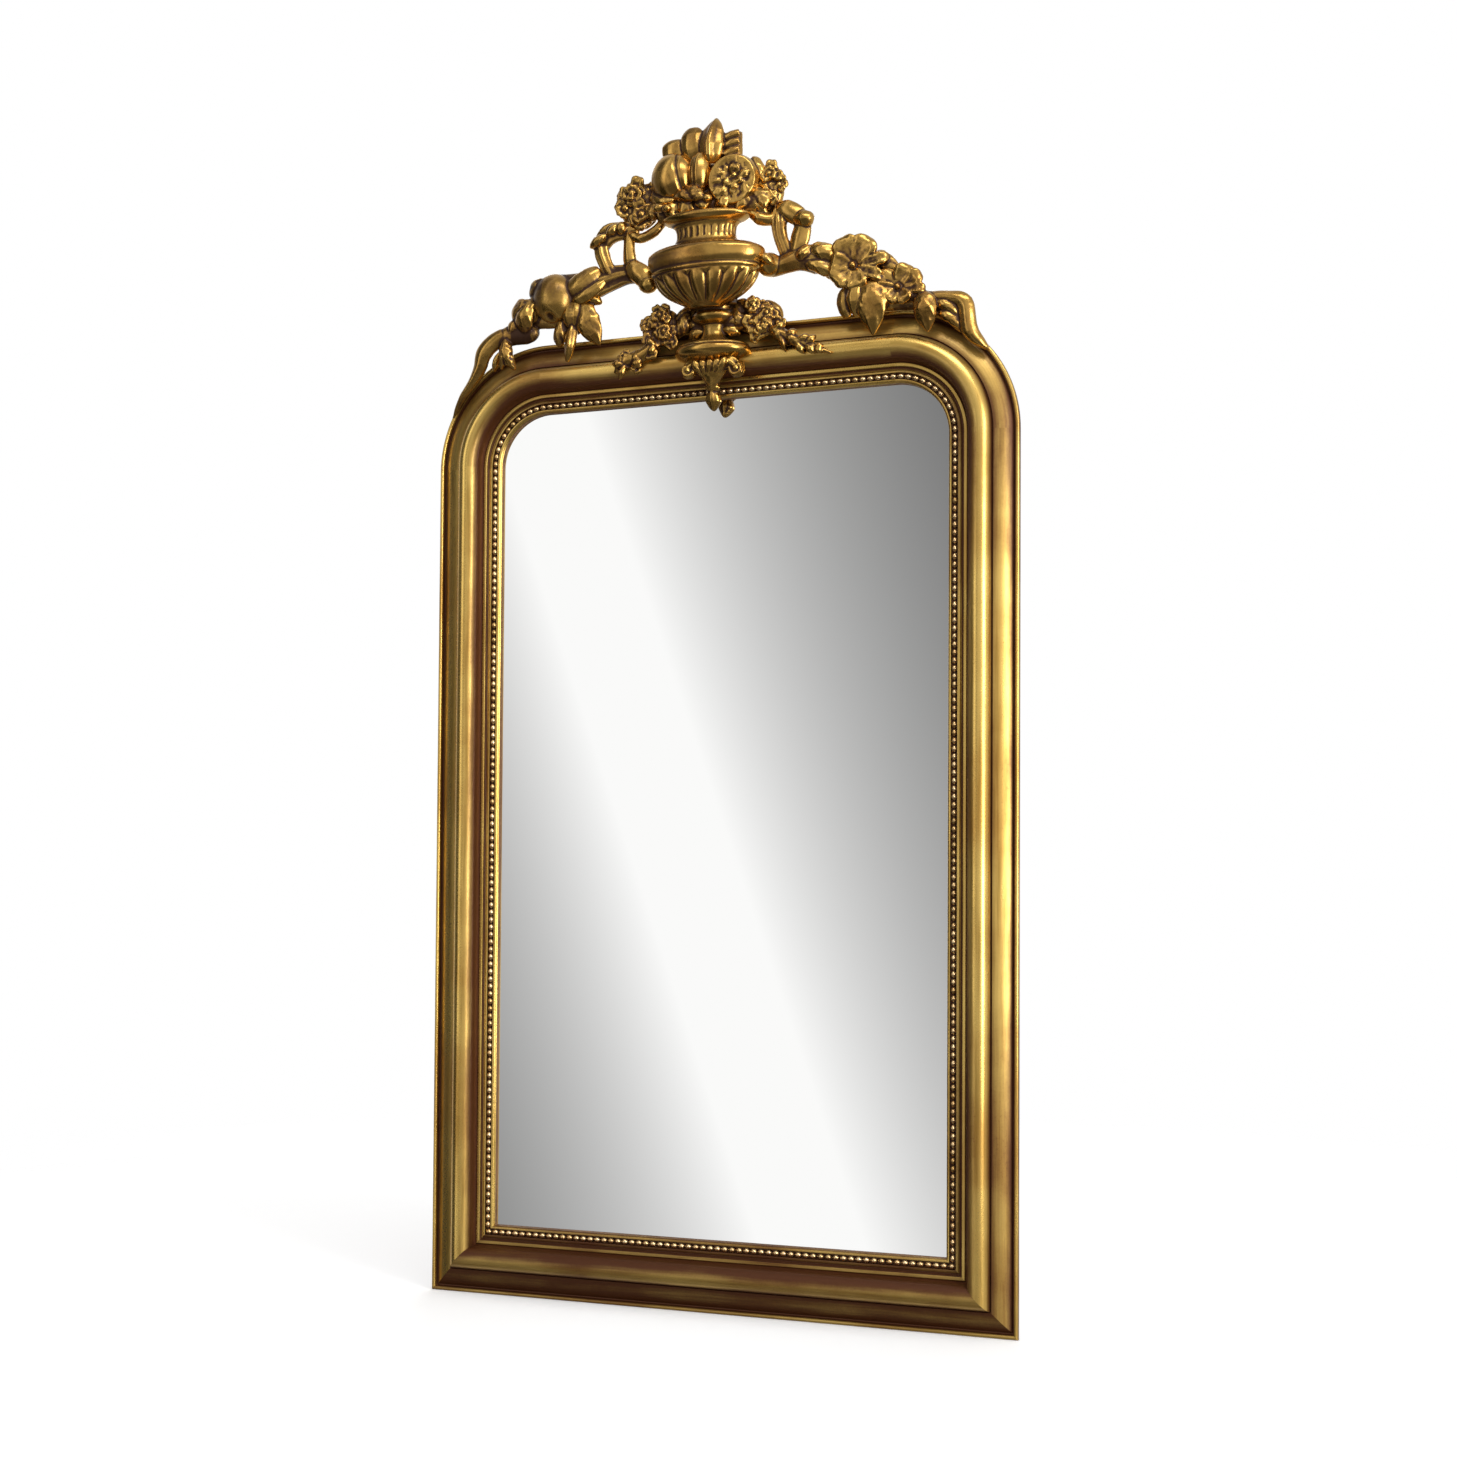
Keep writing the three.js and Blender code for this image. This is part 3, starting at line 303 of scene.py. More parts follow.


# The face from the outer edge to the sight edge: distance in, height, glaze left on it.
# Along the torus's inner flank that glaze is partly painted shade.
moulding_face = [
    (7, 0, 0.8), (0.05, 19.8, 0.6), (0, 20.4, 0.5),
    *arc(2.4, 23.6, 2.4, 2.4, 180, 0, 14, (0.3, 0, 0, 0.3)),
    (4.9, 21.4, 0.9), (5.4, 20.2, 1), (6.6, 20, 1), (7.0, 20.6, 1),
    *bow((7.1, 20.9), (28.3, 30.9), 1.5, 16, (0.85, 0.42, 0.3, 0.24, 0.24, 0.3, 0.5)),
    (28.6, 30.6, 0.85), (28.7, 28.9, 1), (29.1, 28.5, 1), (29.8, 28.5, 1),
    *arc(43.5, 30.5, 13.5, 13.5, 178, 15, 34, (0.75, 0.3, 0.0, 0.0, 0.02, 0.22, 0.44, 0.65, 0.9)),
    (56.9, 30.2, 0.95), (57.3, 27.2, 1), (58.2, 24.4, 1), (59.4, 22.4, 1), (59.8, 22.6, 0.7),
    (60, 23.2, 0.2), (60.6, 23.6, 0.05), (63.4, 23.6, 0.05), (64, 23.2, 0.3),
    (64.3, 20.8, 1), (65, 20.2, 1), (66.2, 20.3, 1), (66.5, 21.2, 0.6),
    *arc(70.2, 19.4, 3.6, 3.1, 150, 90, 6, (0.45, 0.25, 0.3)),
    (70.9, 22.3, 0.4), (71, 21.8, 0.7), (71.05, 18.8, 1), (71.5, 18.5, 1),
    (78.1, 18.5, 1), (78.6, 18.8, 1), (78.6, 21.4, 0.4),
    *arc(79.1, 18, 3.4, 4, 97, 0, 12, (0.15, 0.0, 0.05, 0.35, 0.1, 0.5)),
    (82.5, 16.4, 0.8),
]  # fmt: skip
# The bare wood behind: the sight edge's foot, the rebate and the way back to the start.
moulding_back = [(82.5, 14.5, 1), (77, 14.5, 1), (72, 14.5, 1), (72, 7, 1), (72, 0, 1), (40, 0, 1)]
moulding = np.array(moulding_face + moulding_back)
moulding[:, :2] *= MM
FACE_POINTS = len(moulding_face)

glaze_brown = paint(84, 44, 14)
leaf_bright = paint(232, 194, 104)
leaf_deep = paint(188, 136, 52)
bole_red = paint(128, 58, 30)
leaf_olive = paint(134, 114, 44)
wood_raw = paint(150, 108, 66)
wood_dark = paint(92, 58, 30)


def gilding(name, leaf, deep, brown, along=True, clouds=9.0, glossy=0.27, wiped=(0.12, 0.95)):
    """Burnished leaf over red bole. Brown glazing hides the metal where the attribute read here
    is 1; that attribute holds both the glazing left in the hollows and painted shade.
    """
    made, wire = new_material(name)
    glaze_and_shade = wire.node("Attribute", {"attribute_name": "glaze_and_shade"}, None, out=2)
    spot = wire.node("TexCoord", None, None, out=3)
    run = wire.node("Attribute", {"attribute_name": "run"}, None, out=1) if along else spot
    stretch = (0.25, 6, 1) if along else (1, 1, 1)
    cloud = spot.grain(clouds, 4.0)
    fine = spot.grain(420.0, 6.0, roughness=0.65)
    brushed = run.grain(60.0, 5.0, stretch, 0.6)
    smear = run.grain(22.0, 4.0, stretch)
    left = glaze_and_shade + (cloud - 0.5) * 0.5 + (brushed - 0.5) * 0.3 + (fine - 0.5) * 0.12
    dark = left.between(*wiped)
    toned = cloud.between(0.35, 0.72) * 0.6 + smear.between(0.4, 0.7) * 0.4
    metal = toned.mix(leaf, deep)
    greened = (smear.between(0.5, 0.7) * 0.4).mix(metal, leaf_olive)
    rubbed = (fine.between(0.58, 0.72) * cloud.between(0.45, 0.66) * 0.5).mix(greened, bole_red)
    colour = dark.mix(rubbed, brown)
    bumps = wire.node("Bump", None, {
        "Strength": 0.12,
        "Distance": 0.3 * MM,
        "Height": fine * 0.4 + brushed * 0.6,
    })
    return surface(
        made,
        wire,
        Base_Color=colour,
        Metallic=1 - dark * 0.45,
        Roughness=glossy + dark * 0.24 + (fine - 0.5) * 0.12 + (smear - 0.5) * 0.1,
        Normal=bumps,
        Coat_Weight=0.4 - dark * 0.36,
        Coat_Roughness=0.22,
    )


def raw_wood(name, pale, brown, stretch, scale=30.0):
    """Old sawn wood: long grain lines, a few darker years and a dusty dry surface."""
    made, wire = new_material(name)
    spot = wire.node("TexCoord", None, None, out=3)
    lines = spot.grain(scale, 6.0, stretch, 0.62)
    years = spot.grain(scale * 0.22, 3.0, stretch)
    dust = spot.grain(14.0, 4.0)
    bands = wire.maths("SINE", years * 60.0) * 0.5 + 0.5
    grey = (dust.between(0.4, 0.8) * 0.35).mix(pale, paint(126, 110, 92))
    colour = (lines.between(0.35, 0.75) * 0.55 + bands * 0.3).mix(grey, brown)
    bumps = wire.node("Bump", None, {
        "Strength": 0.5,
        "Distance": 0.4 * MM,
        "Height": lines + bands * 0.4,
    })
    return surface(made, wire, Base_Color=colour, Roughness=0.72 + (dust - 0.5) * 0.2, Normal=bumps)


frame_gilt = gilding("frame_gilding", leaf_bright, leaf_deep, glaze_brown)
wood_upright = raw_wood("frame_wood_upright", wood_raw, wood_dark, (6, 6, 0.35))
wood_level = raw_wood("frame_wood_level", wood_raw, wood_dark, (0.35, 6, 6))


def tube(rows, count):
    """A closed tube's faces: quads from each ring of count points to the next, and two ends."""
    faces = []
    for start in range(0, (rows - 1) * count, count):
        for i in range(count):
            j = (i + 1) % count
            faces.append((start + i, start + j, start + count + j, start + count + i))
    last = (rows - 1) * count
    return faces + [range(count - 1, -1, -1), range(last, last + count)]


def add_piece(name, verts, faces, materials, body="frame", sharp=30):
    """Links a smooth-shaded mesh that rides a body; edges sharper than the angle stay crisp."""
    mesh = bpy.data.meshes.new(name)
    mesh.from_pydata([tuple(v) for v in verts], [], [tuple(f) for f in faces])
    mesh.validate()
    mesh.polygons.foreach_set("use_smooth", [True] * len(mesh.polygons))
    if sharp:
        mesh.set_sharp_from_angle(angle=math.radians(sharp))
    for used in materials:
        mesh.materials.append(used)
    piece = bpy.data.objects.new(name, mesh)
    bpy.context.scene.collection.objects.link(piece)
    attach(piece, body)
    return piece


def set_values(mesh, name, values, kind="FLOAT"):
    """Stores one number, or one vector, for each point of the mesh."""
    layer = mesh.attributes.new(name, kind, "POINT")
    field = "value" if kind == "FLOAT" else "vector"
    layer.data.foreach_set(field, np.ravel(values).astype(np.float32))


def waver(u, h, spot):
    """Planed by hand, the face wanders by a tenth of a millimetre, always inwards."""
    drift = noise.noise(Vector(spot) * 22) + 0.5 * noise.noise(Vector(spot) * 61)
    lift = noise.noise(Vector(spot) * 30 + Vector((7, 3, 1)))
    return u + 0.07 * MM * (1.5 + drift), h - 0.09 * MM * (1 + lift)


def member(name, length, place, wood, painted_shade_along=(0.0, 0.0)):
    """Carries the moulding along a member; place(t, u, h) is a point a share t along it.
    The last argument gives painted shade, added to its brown glazing, in values spread evenly
    from one end to the other."""
    slices = max(int(length / STEP_L), 24)
    count = len(moulding)
    across = np.concatenate([[0], np.cumsum(np.hypot(*np.diff(moulding[:, :2], axis=0).T))])
    verts, runs = [], []
    for k in range(slices + 1):
        t = k / slices
        for i, (u, h, _) in enumerate(moulding):
            if i < FACE_POINTS - 1 and i > 1:
                u, h = waver(u, h, place(t, u, h))
            verts.append(place(t, u, h))
            runs.append((length * t, across[i], 0))
    finish = [0 if i + 1 < FACE_POINTS else 1 for i in range(count)] * slices + [1, 1]
    piece = add_piece(name + "_gilt", verts, tube(slices + 1, count), [frame_gilt, wood])
    piece.data.polygons.foreach_set("material_index", finish)
    shade_per_slice = np.interp(np.linspace(0, 1, slices + 1), np.linspace(0, 1, len(painted_shade_along)), painted_shade_along)
    glaze_with_shade = shade_per_slice[:, None] + moulding[None, :, 2]
    set_values(piece.data, "glaze_and_shade", np.minimum(glaze_with_shade, 1))
    set_values(piece.data, "run", runs, "FLOAT_VECTOR")
    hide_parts(name)


def on_corner(s):
    """Places round the upper corner on the side s, from its side up to its top."""

    def place(t, u, h):
        a = math.pi / 2 * t
        r = CORNER_R - u
        return at(s * (ARC_X + r * math.cos(a)), h, ARC_Z + r * math.sin(a))

    return place


SIDES = {"left": -1, "right": 1}
# Painted shade added to the members' glazing: the right stile is darkened towards both ends, its round
# corner throughout, and the left corner towards its top.
stile_painted_shade = {"left": (0.0, 0.0), "right": (0.3, 0.24, 0.04, 0.04, 0.4)}
corner_painted_shade = {"left": (0.05, 0.36), "right": (0.4, 0.22)}
for name, s in SIDES.items():
    member(
        "stile_" + name,
        ARC_Z,
        lambda t, u, h, s=s: at(s * (HALF_W - u), h, u + (ARC_Z - u) * t),
        wood_upright,
        stile_painted_shade[name],
    )
    member(
        "corner_block_" + name,
        CORNER_R * math.pi / 2,
        on_corner(s),
        wood_upright,
        corner_painted_shade[name],
    )
# Painted shade on the rails: the top rail darkened most at its left end, the bottom rail all along.
member(
    "rail_top",
    2 * ARC_X,
    lambda t, u, h: at(ARC_X * (2 * t - 1), h, FRAME_H - u),
    wood_level,
    painted_shade_along=(0.36, 0.1),
)
member(
    "rail_bottom",
    FRAME_W,
    lambda t, u, h: at((HALF_W - u) * (2 * t - 1), h, u),
    wood_level,
    painted_shade_along=(0.62, 0.5),
)

# --------------------------------------------------------------------- the pearl border
# Composition pearls pressed in lengths, gilt and glued into the channel before the lip.
# Each is a flattened ball on a thread; the tops are rubbed pale and the gaps stay dark.
PEARL_PITCH = 9.05 * MM
PEARL_R = (4.15 * MM, 3.6 * MM, 3.4 * MM)  # along the run, across it and up
PEARL_FOOT = 18.8 * MM
PEARL_SEAT = 1.9 * MM  # how far a pearl's middle lies above its foot
PEARL_TOP = 4.2 * MM  # above this height off its foot a pearl is rubbed clean
PEARL_IN = 74.8 * MM
PEARL_END_IN = 71.3 * MM  # from the frame's sides to the ends of the bottom strip
PEARL_Z = 78.9 * MM  # from the frame's foot to the ends of the side strips
THREAD_R = 1.4 * MM
PEARL_ROUND = 14
PEARL_RINGS = 8

pearl_gilt = gilding(
    "pearl_gilding",
    paint(250, 218, 166),
    paint(214, 164, 96),
    paint(58, 28, 12),
    along=False,
    clouds=40.0,
)


def pearl_strip(name, length, place):
    """place(l, u, h) is a point a length l along the strip, u across it and h high."""
    total = round(length / PEARL_PITCH)
    pitch = length / total
    slices = []
    for n in range(total):
        wobble = 1 + 0.05 * noise.noise(Vector((n * 1.7, length, 0)))
        for k in range(PEARL_RINGS + 1):
            a = math.pi * (k / PEARL_RINGS)
            girth = max(math.sin(a), 0.0)
            l = pitch * (n + 0.5) - PEARL_R[0] * math.cos(a)
            across = max(PEARL_R[1] * girth * wobble, THREAD_R)
            up = max((PEARL_SEAT + PEARL_R[2]) * girth ** 0.8 * wobble, THREAD_R)
            slices.append((l, across, up))
    slices = [(0, THREAD_R, THREAD_R)] + slices + [(length, THREAD_R, THREAD_R)]
    verts, glazes = [], []
    for l, across, up in slices:
        for i in range(PEARL_ROUND):
            a = math.pi * i / (PEARL_ROUND - 1)
            lift = up * math.sin(a)
            verts.append(place(l, across * math.cos(a), PEARL_FOOT + lift))
            glazes.append(np.interp(lift, (0, THREAD_R * 1.2, PEARL_TOP), (1, 0.85, 0)))
    faces = tube(len(slices), PEARL_ROUND)
    piece = add_piece(name + "_gilt", verts, faces, [pearl_gilt], sharp=50)
    set_values(piece.data, "glaze_and_shade", glazes)
    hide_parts(name)


for name, s in SIDES.items():
    pearl_strip(
        "pearl_strip_" + name,
        ARC_Z - PEARL_Z,
        lambda l, u, h, s=s: at(s * (HALF_W - PEARL_IN - u), h, PEARL_Z + l),
    )
BOTTOM_PEARLS = 2 * (HALF_W - PEARL_END_IN)
pearl_strip(
    "pearl_strip_bottom", BOTTOM_PEARLS, lambda l, u, h: at(l - BOTTOM_PEARLS / 2, h, PEARL_IN + u)
)
PEARL_ARC_R = CORNER_R - PEARL_IN
PEARL_ARC_L = PEARL_ARC_R * math.pi / 2


def over_the_top(l, u, h):
    """Places along the top strip: round the left corner, along the rail, round the right."""
    r = PEARL_ARC_R - u
    if PEARL_ARC_L <= l <= PEARL_ARC_L + 2 * ARC_X:
        return at(l - PEARL_ARC_L - ARC_X, h, ARC_Z + r)
    s = -1 if l < PEARL_ARC_L else 1
    a = l / PEARL_ARC_R if s < 0 else (2 * PEARL_ARC_L + 2 * ARC_X - l) / PEARL_ARC_R
    return at(s * (ARC_X + r * math.cos(a)), h, ARC_Z + r * math.sin(a))


pearl_strip("pearl_strip_top", 2 * PEARL_ARC_L + 2 * ARC_X, over_the_top)

# ------------------------------------------------------------------- the crest: its urn
# Carved limewood and composition under the same leaf, flat at the back. Everything in the
# crest is roughed out from turned, stemmed and leafy forms, run together as the carver and
# the gesso do, and softened; what lies deep is darkened to brown as painted shade. The urn is
# half round: a ringed neck, a plain shoulder and a bowl of lobes.
CREST_BACK_H = 26 * MM
CARVING_GRAIN = 1.0 * MM
SHADED_BELOW = 47 * MM  # below this height off the back the carving is darkened to brown as painted shade
SHADE_DEPTH = 16 * MM  # and so far below it that painted shade is full
box_low, box_high = solid_bounds

crest_gilt = gilding(
    "crest_gilding",
    paint(204, 160, 78),
    paint(146, 98, 32),
    paint(58, 31, 9),
    along=False,
    clouds=24.0,
    glossy=0.23,
    wiped=(0.2, 0.82),
)


def crest_at(x, up, h):
    """A crest place in mm: to the right, above the frame's top edge, off its back."""
    return np.array((x * MM, -(WALL_GAP + h * MM), FRAME_H / 2 + up * MM))


def skin(rings):
    """Joins rings of as many points each into one closed form."""
    rings = np.array(rings)
    return rings.reshape(-1, 3), tube(*rings.shape[:2])


def smooth_through(points, spot):
    """A point on the smooth line through the rows of points, at row number spot."""
    k = min(int(spot), len(points) - 2)
    t = spot - k
    a, b = points[max(k - 1, 0)], points[k]
    c, d = points[k + 1], points[min(k + 2, len(points) - 1)]
    bend = (c - a) * t + (2 * a - 5 * b + 4 * c - d) * t**2 + (3 * b - a - 3 * c + d) * t**3
    return b + 0.5 * bend


def turned(profile, x, h, flat, relief, steps=5, sides=160):
    """A turned form pressed flat; relief(angle, up, radius) gives its carved radius."""
    profile = np.array(profile, float)
    spots = np.linspace(0, len(profile) - 1, (len(profile) - 1) * steps + 1)
    rings = []
    for spot in spots:
        radius, up = smooth_through(profile, spot)
        ring = []
        for i in range(sides):
            a = math.tau * i / sides
            r = relief(a, up, radius)
            ring.append(crest_at(x + r * math.sin(a), up, h + flat * r * math.cos(a)))
        rings.append(ring)
    return skin(rings)


def carve(name, forms, back=True, painted_shade=None, soften=1, tooling=0.4):
    """Runs the forms together into one carved piece, which stands for the solid of that name.
    The shade function of x and up gives painted shade added there, or painted light where it
    is below 0; tooling is how unevenly it was cut, in mm."""
    verts, faces = [], []
    for form_verts, form_faces in forms:
        faces += [tuple(i + len(verts) for i in face) for face in form_faces]
        verts += [tuple(v) for v in form_verts]
    mesh = bpy.data.meshes.new(name)
    mesh.from_pydata(verts, [], faces)
    block = bpy.data.objects.new(name, mesh)
    bpy.context.scene.collection.objects.link(block)
    fused = block.modifiers.new("fused", "REMESH")
    fused.mode = "VOXEL"
    fused.voxel_size = CARVING_GRAIN
    graph = bpy.context.evaluated_depsgraph_get()
    made = bpy.data.meshes.new_from_object(block.evaluated_get(graph))
    bpy.data.objects.remove(block)
    bpy.data.meshes.remove(mesh)
    spots = np.zeros(len(made.vertices) * 3)
    made.vertices.foreach_get("co", spots)
    spots = spots.reshape(-1, 3)
    edges = np.zeros(len(made.edges) * 2, int)
    made.edges.foreach_get("vertices", edges)
    ends = edges.reshape(-1, 2)
    reach = np.bincount(ends.ravel(), minlength=len(spots))[:, None]

    def eased(places, times):
        for _ in range(times):
            total = np.zeros_like(places)
            for axis in range(3):
                total[:, axis] += np.bincount(ends[:, 0], places[ends[:, 1], axis], len(places))
                total[:, axis] += np.bincount(ends[:, 1], places[ends[:, 0], axis], len(places))
            places = 0.4 * places + 0.6 * total / reach
        return places

    spots = eased(spots, soften)
    made.vertices.foreach_set("co", spots.ravel())
    made.update()
    normals = np.zeros(len(spots) * 3)
    made.vertices.foreach_get("normal", normals)
    normals = normals.reshape(-1, 3)
    if tooling:
        places = [Vector(spot) for spot in spots]
        cuts = [noise.noise(p * 120) + 0.3 * noise.noise(p * 320) for p in places]
        spots += normals * np.array(cuts)[:, None] * tooling * MM
    # How dark the carving is left: patina in its tight creases, painted shade over its broader hollows,
    # and painted shade growing towards the back, which also darkens the low backing pieces laid in
    # between the carved forms.
    near = ((eased(spots, 5) - spots) * normals).sum(1)
    wide = ((eased(spots, 40) - spots) * normals).sum(1)
    deep_shade = (WALL_GAP + SHADED_BELOW + spots[:, 1]) / SHADE_DEPTH
    glaze_and_shade = 0.36 + 0.42 * (near / (0.16 * MM) + wide / (1.5 * MM)) + 0.6 * np.clip(deep_shade, 0, 1)
    if painted_shade:
        glaze_and_shade += painted_shade(spots[:, 0] / MM, (spots[:, 2] - FRAME_H / 2) / MM)
    if back:
        spots[:, 1] = np.minimum(spots[:, 1], -(WALL_GAP + CREST_BACK_H))
    spots = np.clip(spots, box_low, box_high)
    made.vertices.foreach_set("co", spots.ravel())
    made.materials.clear()
    made.materials.append(crest_gilt)
    made.polygons.foreach_set("use_smooth", [True] * len(made.polygons))
    made.polygons.foreach_set("material_index", [0] * len(made.polygons))
    set_values(made, "glaze_and_shade", np.clip(glaze_and_shade, 0, 1))
    piece = bpy.data.objects.new(name + "_gilt", made)
    bpy.context.scene.collection.objects.link(piece)
    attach(piece, "frame")
    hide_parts(name)


URN_X, URN_H, URN_FLAT = 1, 56, 0.5
BOWL_LOBES = 17
NECK_LOBES = 26
urn_profile = [
    (20, 15), (24, 18), (33, 22), (46, 28.7), (57, 38), (63, 47), (65, 53.2), (64.5, 55),
    (67, 56), (68.5, 57.6), (67.4, 59.2), (66, 60), (68, 62.4), (71.6, 67.7), (72.5, 73.5),
    (71, 79.8), (61.5, 85.1), (47, 88.6), (41.5, 90.5), (38.4, 94), (36.6, 100.3), (38, 108.9),
    (41, 111.4), (40, 112.4), (43, 113.2), (49, 115.2), (54, 118.3), (55.4, 120.3), (54, 122.5),
    (47, 124.7), (30, 126),
]  # fmt: skip


def lobe(turns, count):
    """How far a place round the form stands above the cut between two lobes, 0 to 1."""
    share = (turns * count / math.tau + 0.5) % 1.0 - 0.5
    return math.sqrt(max(1 - (2.06 * share) ** 2, 0.0))


def step(value, low, high):
    """Rises smoothly from 0 at low to 1 at high."""
    t = min(max((value - low) / (high - low), 0.0), 1.0)
    return t * t * (3 - 2 * t)


def urn_relief(a, up, r):
    tongue = lobe(a, BOWL_LOBES)
    bowl = step(up, 16, 26) * (1 - step(up, 46 + 6 * tongue, 50 + 5 * tongue))
    neck = step(up, 94.5, 97) * (1 - step(up, 106, 108.5))
    cut = 10.5 * bowl * (1 - tongue) * min(r / 60, 1)
    return r - cut - 3.4 * neck * (1 - lobe(a, NECK_LOBES))


# Painted shade down the urn's left side, painted light on its right.
carve(
    "urn_body",
    [turned(urn_profile, URN_X, URN_H, URN_FLAT, urn_relief, steps=6, sides=260)],
    painted_shade=lambda x, up: 0.38 * np.clip((-x - 12) / 50, 0, 1) - 0.12 * (x > 12),
    tooling=0.1,
)

# The urn's foot: a turned stem with a ring below the bowl, spreading to a round socle, with
# small leaves packed in on both sides of the stem, darkened there as painted shade.
FOOT_X, FOOT_H, FOOT_FLAT = 5, 42, 0.7
foot_profile = [
    (28, -46), (37, -43), (44, -39.5), (47, -35), (46, -31), (42.5, -29), (43.5, -27.4),
    (41, -26), (29, -22.6), (20, -19.6), (14.8, -15.5), (12.4, -10.5), (12.2, -5.8), (13.4, -2.6),
    (13, -1.4), (17, -0.4), (22, 2), (25.4, 6), (25.6, 9), (23, 12.2), (20.5, 13.8), (21.5, 16),
    (22, 19),
]  # fmt: skip


def ball(x, up, h, rx, ru, rh, relief=None, sides=24):
    """A rounded form; relief(direction) is how much its radius is cut or swelled there."""
    rings = []
    for k in range(1, sides):
        tilt = math.pi * k / sides
        ring = []
        for i in range(2 * sides):
            a = math.tau * i / (2 * sides)
            way = (math.sin(tilt) * math.cos(a), math.cos(tilt), math.sin(tilt) * math.sin(a))
            r = relief(way) if relief else 1.0
            ring.append(crest_at(x + rx * r * way[0], up + ru * r * way[1], h + rh * r * way[2]))
        rings.append(ring)
    return skin(rings)


def limb(stations, relief=None, steps=6, sides=22, tips=True):
    """A stem, strap or leaf along a smooth line through stations of (right, up, off the back,
    half width, half thickness). relief(along, across) swells its front."""
    stations = np.array(stations, float)
    spans = (len(stations) - 1) * steps
    middles = []
    for i in range(spans + 1):
        spot = i / steps
        x, up, h = smooth_through(stations[:, :3], spot)
        k = min(int(spot), len(stations) - 2)
        wide, thick = stations[k, 3:] + (stations[k + 1, 3:] - stations[k, 3:]) * (spot - k)
        middles.append((crest_at(x, up, h), wide, thick))
    rings = []
    for i, (middle, wide, thick) in enumerate(middles):
        along = middles[min(i + 1, spans)][0] - middles[max(i - 1, 0)][0]
        along = along / (np.linalg.norm(along) + 1e-12)
        across = np.cross(along, (0, -1, 0))
        across = across / (np.linalg.norm(across) + 1e-12)
        out = np.cross(across, along)
        t = i / spans
        if tips:
            end = min(t, 1 - t) * spans / steps
            close = math.sqrt(min(1.0, 0.25 + end * 1.6))
            wide, thick = wide * close, thick * close
        ring = []
        for j in range(sides):
            a = math.tau * j / sides
            v, w = math.cos(a), math.sin(a)
            broad = 1.0
            if relief:
                broad, w = relief(t, v, w)
            ring.append(middle + across * v * wide * broad * MM + out * w * thick * MM)
        rings.append(ring)
    return skin(rings)


def leaf(stations, veins=6, waves=0.12, rib=0.2):
    """A carved leaf: two slopes to a cut midrib, side veins and a waved edge."""

    def front(t, v, w):
        broad = 1.2 + waves * math.sin(t * veins * math.pi + 0.6) * abs(v)
        if w <= 0:
            return broad, w
        slope = 0.35 * w + 0.65 * (1 - abs(v)) ** 0.8
        cut = rib * math.exp(-((v / 0.13) ** 2))
        vein = 0.09 * math.cos(math.tau * (t * veins - abs(v) * 1.1)) * (1 - (1 - abs(v)) ** 2)
        return broad, slope - cut + vein

    return limb(stations, front)


def strap(stations, flutes=2, tips=True):
    """A carved ribbon or tube with rolled edges and shallow flutes."""

    def front(t, v, w):
        if w <= 0:
            return 1.2, w
        return 1.2, w * 0.85 + 0.16 * abs(v) ** 3 + 0.09 * math.cos(v * flutes * math.pi)

    return limb(stations, front, tips=tips)


stem_leaves = []
for s in SIDES.values():
    for reach, lift in ((16, 9), (23, 3), (22, -6)):
        x0, up0 = FOOT_X + s * 10, -5 + lift * 0.5
        stem_leaves.append(
            leaf(
                [
                    (x0, up0, 36, 4, 7),
                    (x0 + s * reach * 0.55, up0 + lift * 0.6 + 3, 41, 6.5, 7),
                    (x0 + s * reach, up0 + lift + 1, 36, 3, 5),
                ],
                veins=4,
            )
        )
stem_leaves.append(limb([(-36, 8, 33, 14, 6), (6, 12, 33, 17, 6), (46, 8, 33, 14, 6)], tips=False))
# Painted shade on the small leaves beside the stem.
carve(
    "urn_foot",
    [turned(foot_profile, FOOT_X, FOOT_H, FOOT_FLAT, lambda a, up, r: r, sides=150)] + stem_leaves,
    painted_shade=lambda x, up: 0.5 * (abs(x - FOOT_X) > 15) * (up > -16) * (up < 14),
    tooling=0.12,
)

# The console under the socle: a tapering bracket of acanthus ribs between two scrolled ends,
# planted on the moulding of the top rail.


def volute(x, up, h, radius, way):
    """A rolled end: one turn of a narrowing band round a button."""
    turns = []
    for k in range(10):
        r = radius * (1 - 0.04 * k) * 0.72
        a = k * 0.7 + 1.2
        spot = (x + way * r * math.cos(a), up + r * math.sin(a), h + 2 + k * 0.25)
        turns.append((*spot, 3.0 - k * 0.08, 4.4))
    return [
        limb(turns, steps=3, sides=12, tips=False),
        ball(x, up, h, radius * 0.85, radius * 0.85, 7, sides=12),
        ball(x, up, h + 5, radius * 0.34, radius * 0.34, 4.5, sides=8),
    ]


console = [
    limb([(8, -46, 50, 26, 14), (7, -58, 50, 17, 12), (5, -69, 42, 8, 10), (4, -75, 38, 6, 9)]),
    strap([(-2, -47, 52, 8, 9), (-14, -49, 53, 7, 9), (-25, -57, 52, 6, 8)]),
    strap([(18, -47, 52, 8, 9), (31, -50, 53, 7, 9), (43, -59, 52, 6, 8)]),
    *volute(-21, -56, 52, 11, -1),
    *volute(39, -58, 52, 12, 1),
]
ribs = ((-11, 0, 4.2), (-1, 2.5, 4.4), (9, 5, 4.8), (19, 7.5, 4.4), (28, 10, 4))
for top_x, foot_x, wide in ribs:
    console.append(
        leaf(
            [
                (top_x, -45, 60, wide, 5),
                ((top_x * 2 + foot_x) / 3, -55, 61, wide, 5.5),
                (foot_x, -66, 47, wide * 0.7, 6),
                (foot_x, -73, 40, 2, 4),
            ],
            veins=3,
        )
    )
carve("console_bracket", console)

# The pendant: a small collar under the console and a lobed drop that ends in a point, cast
# as one piece and pinned to the console's foot, so that it hangs over the edge of the glass.


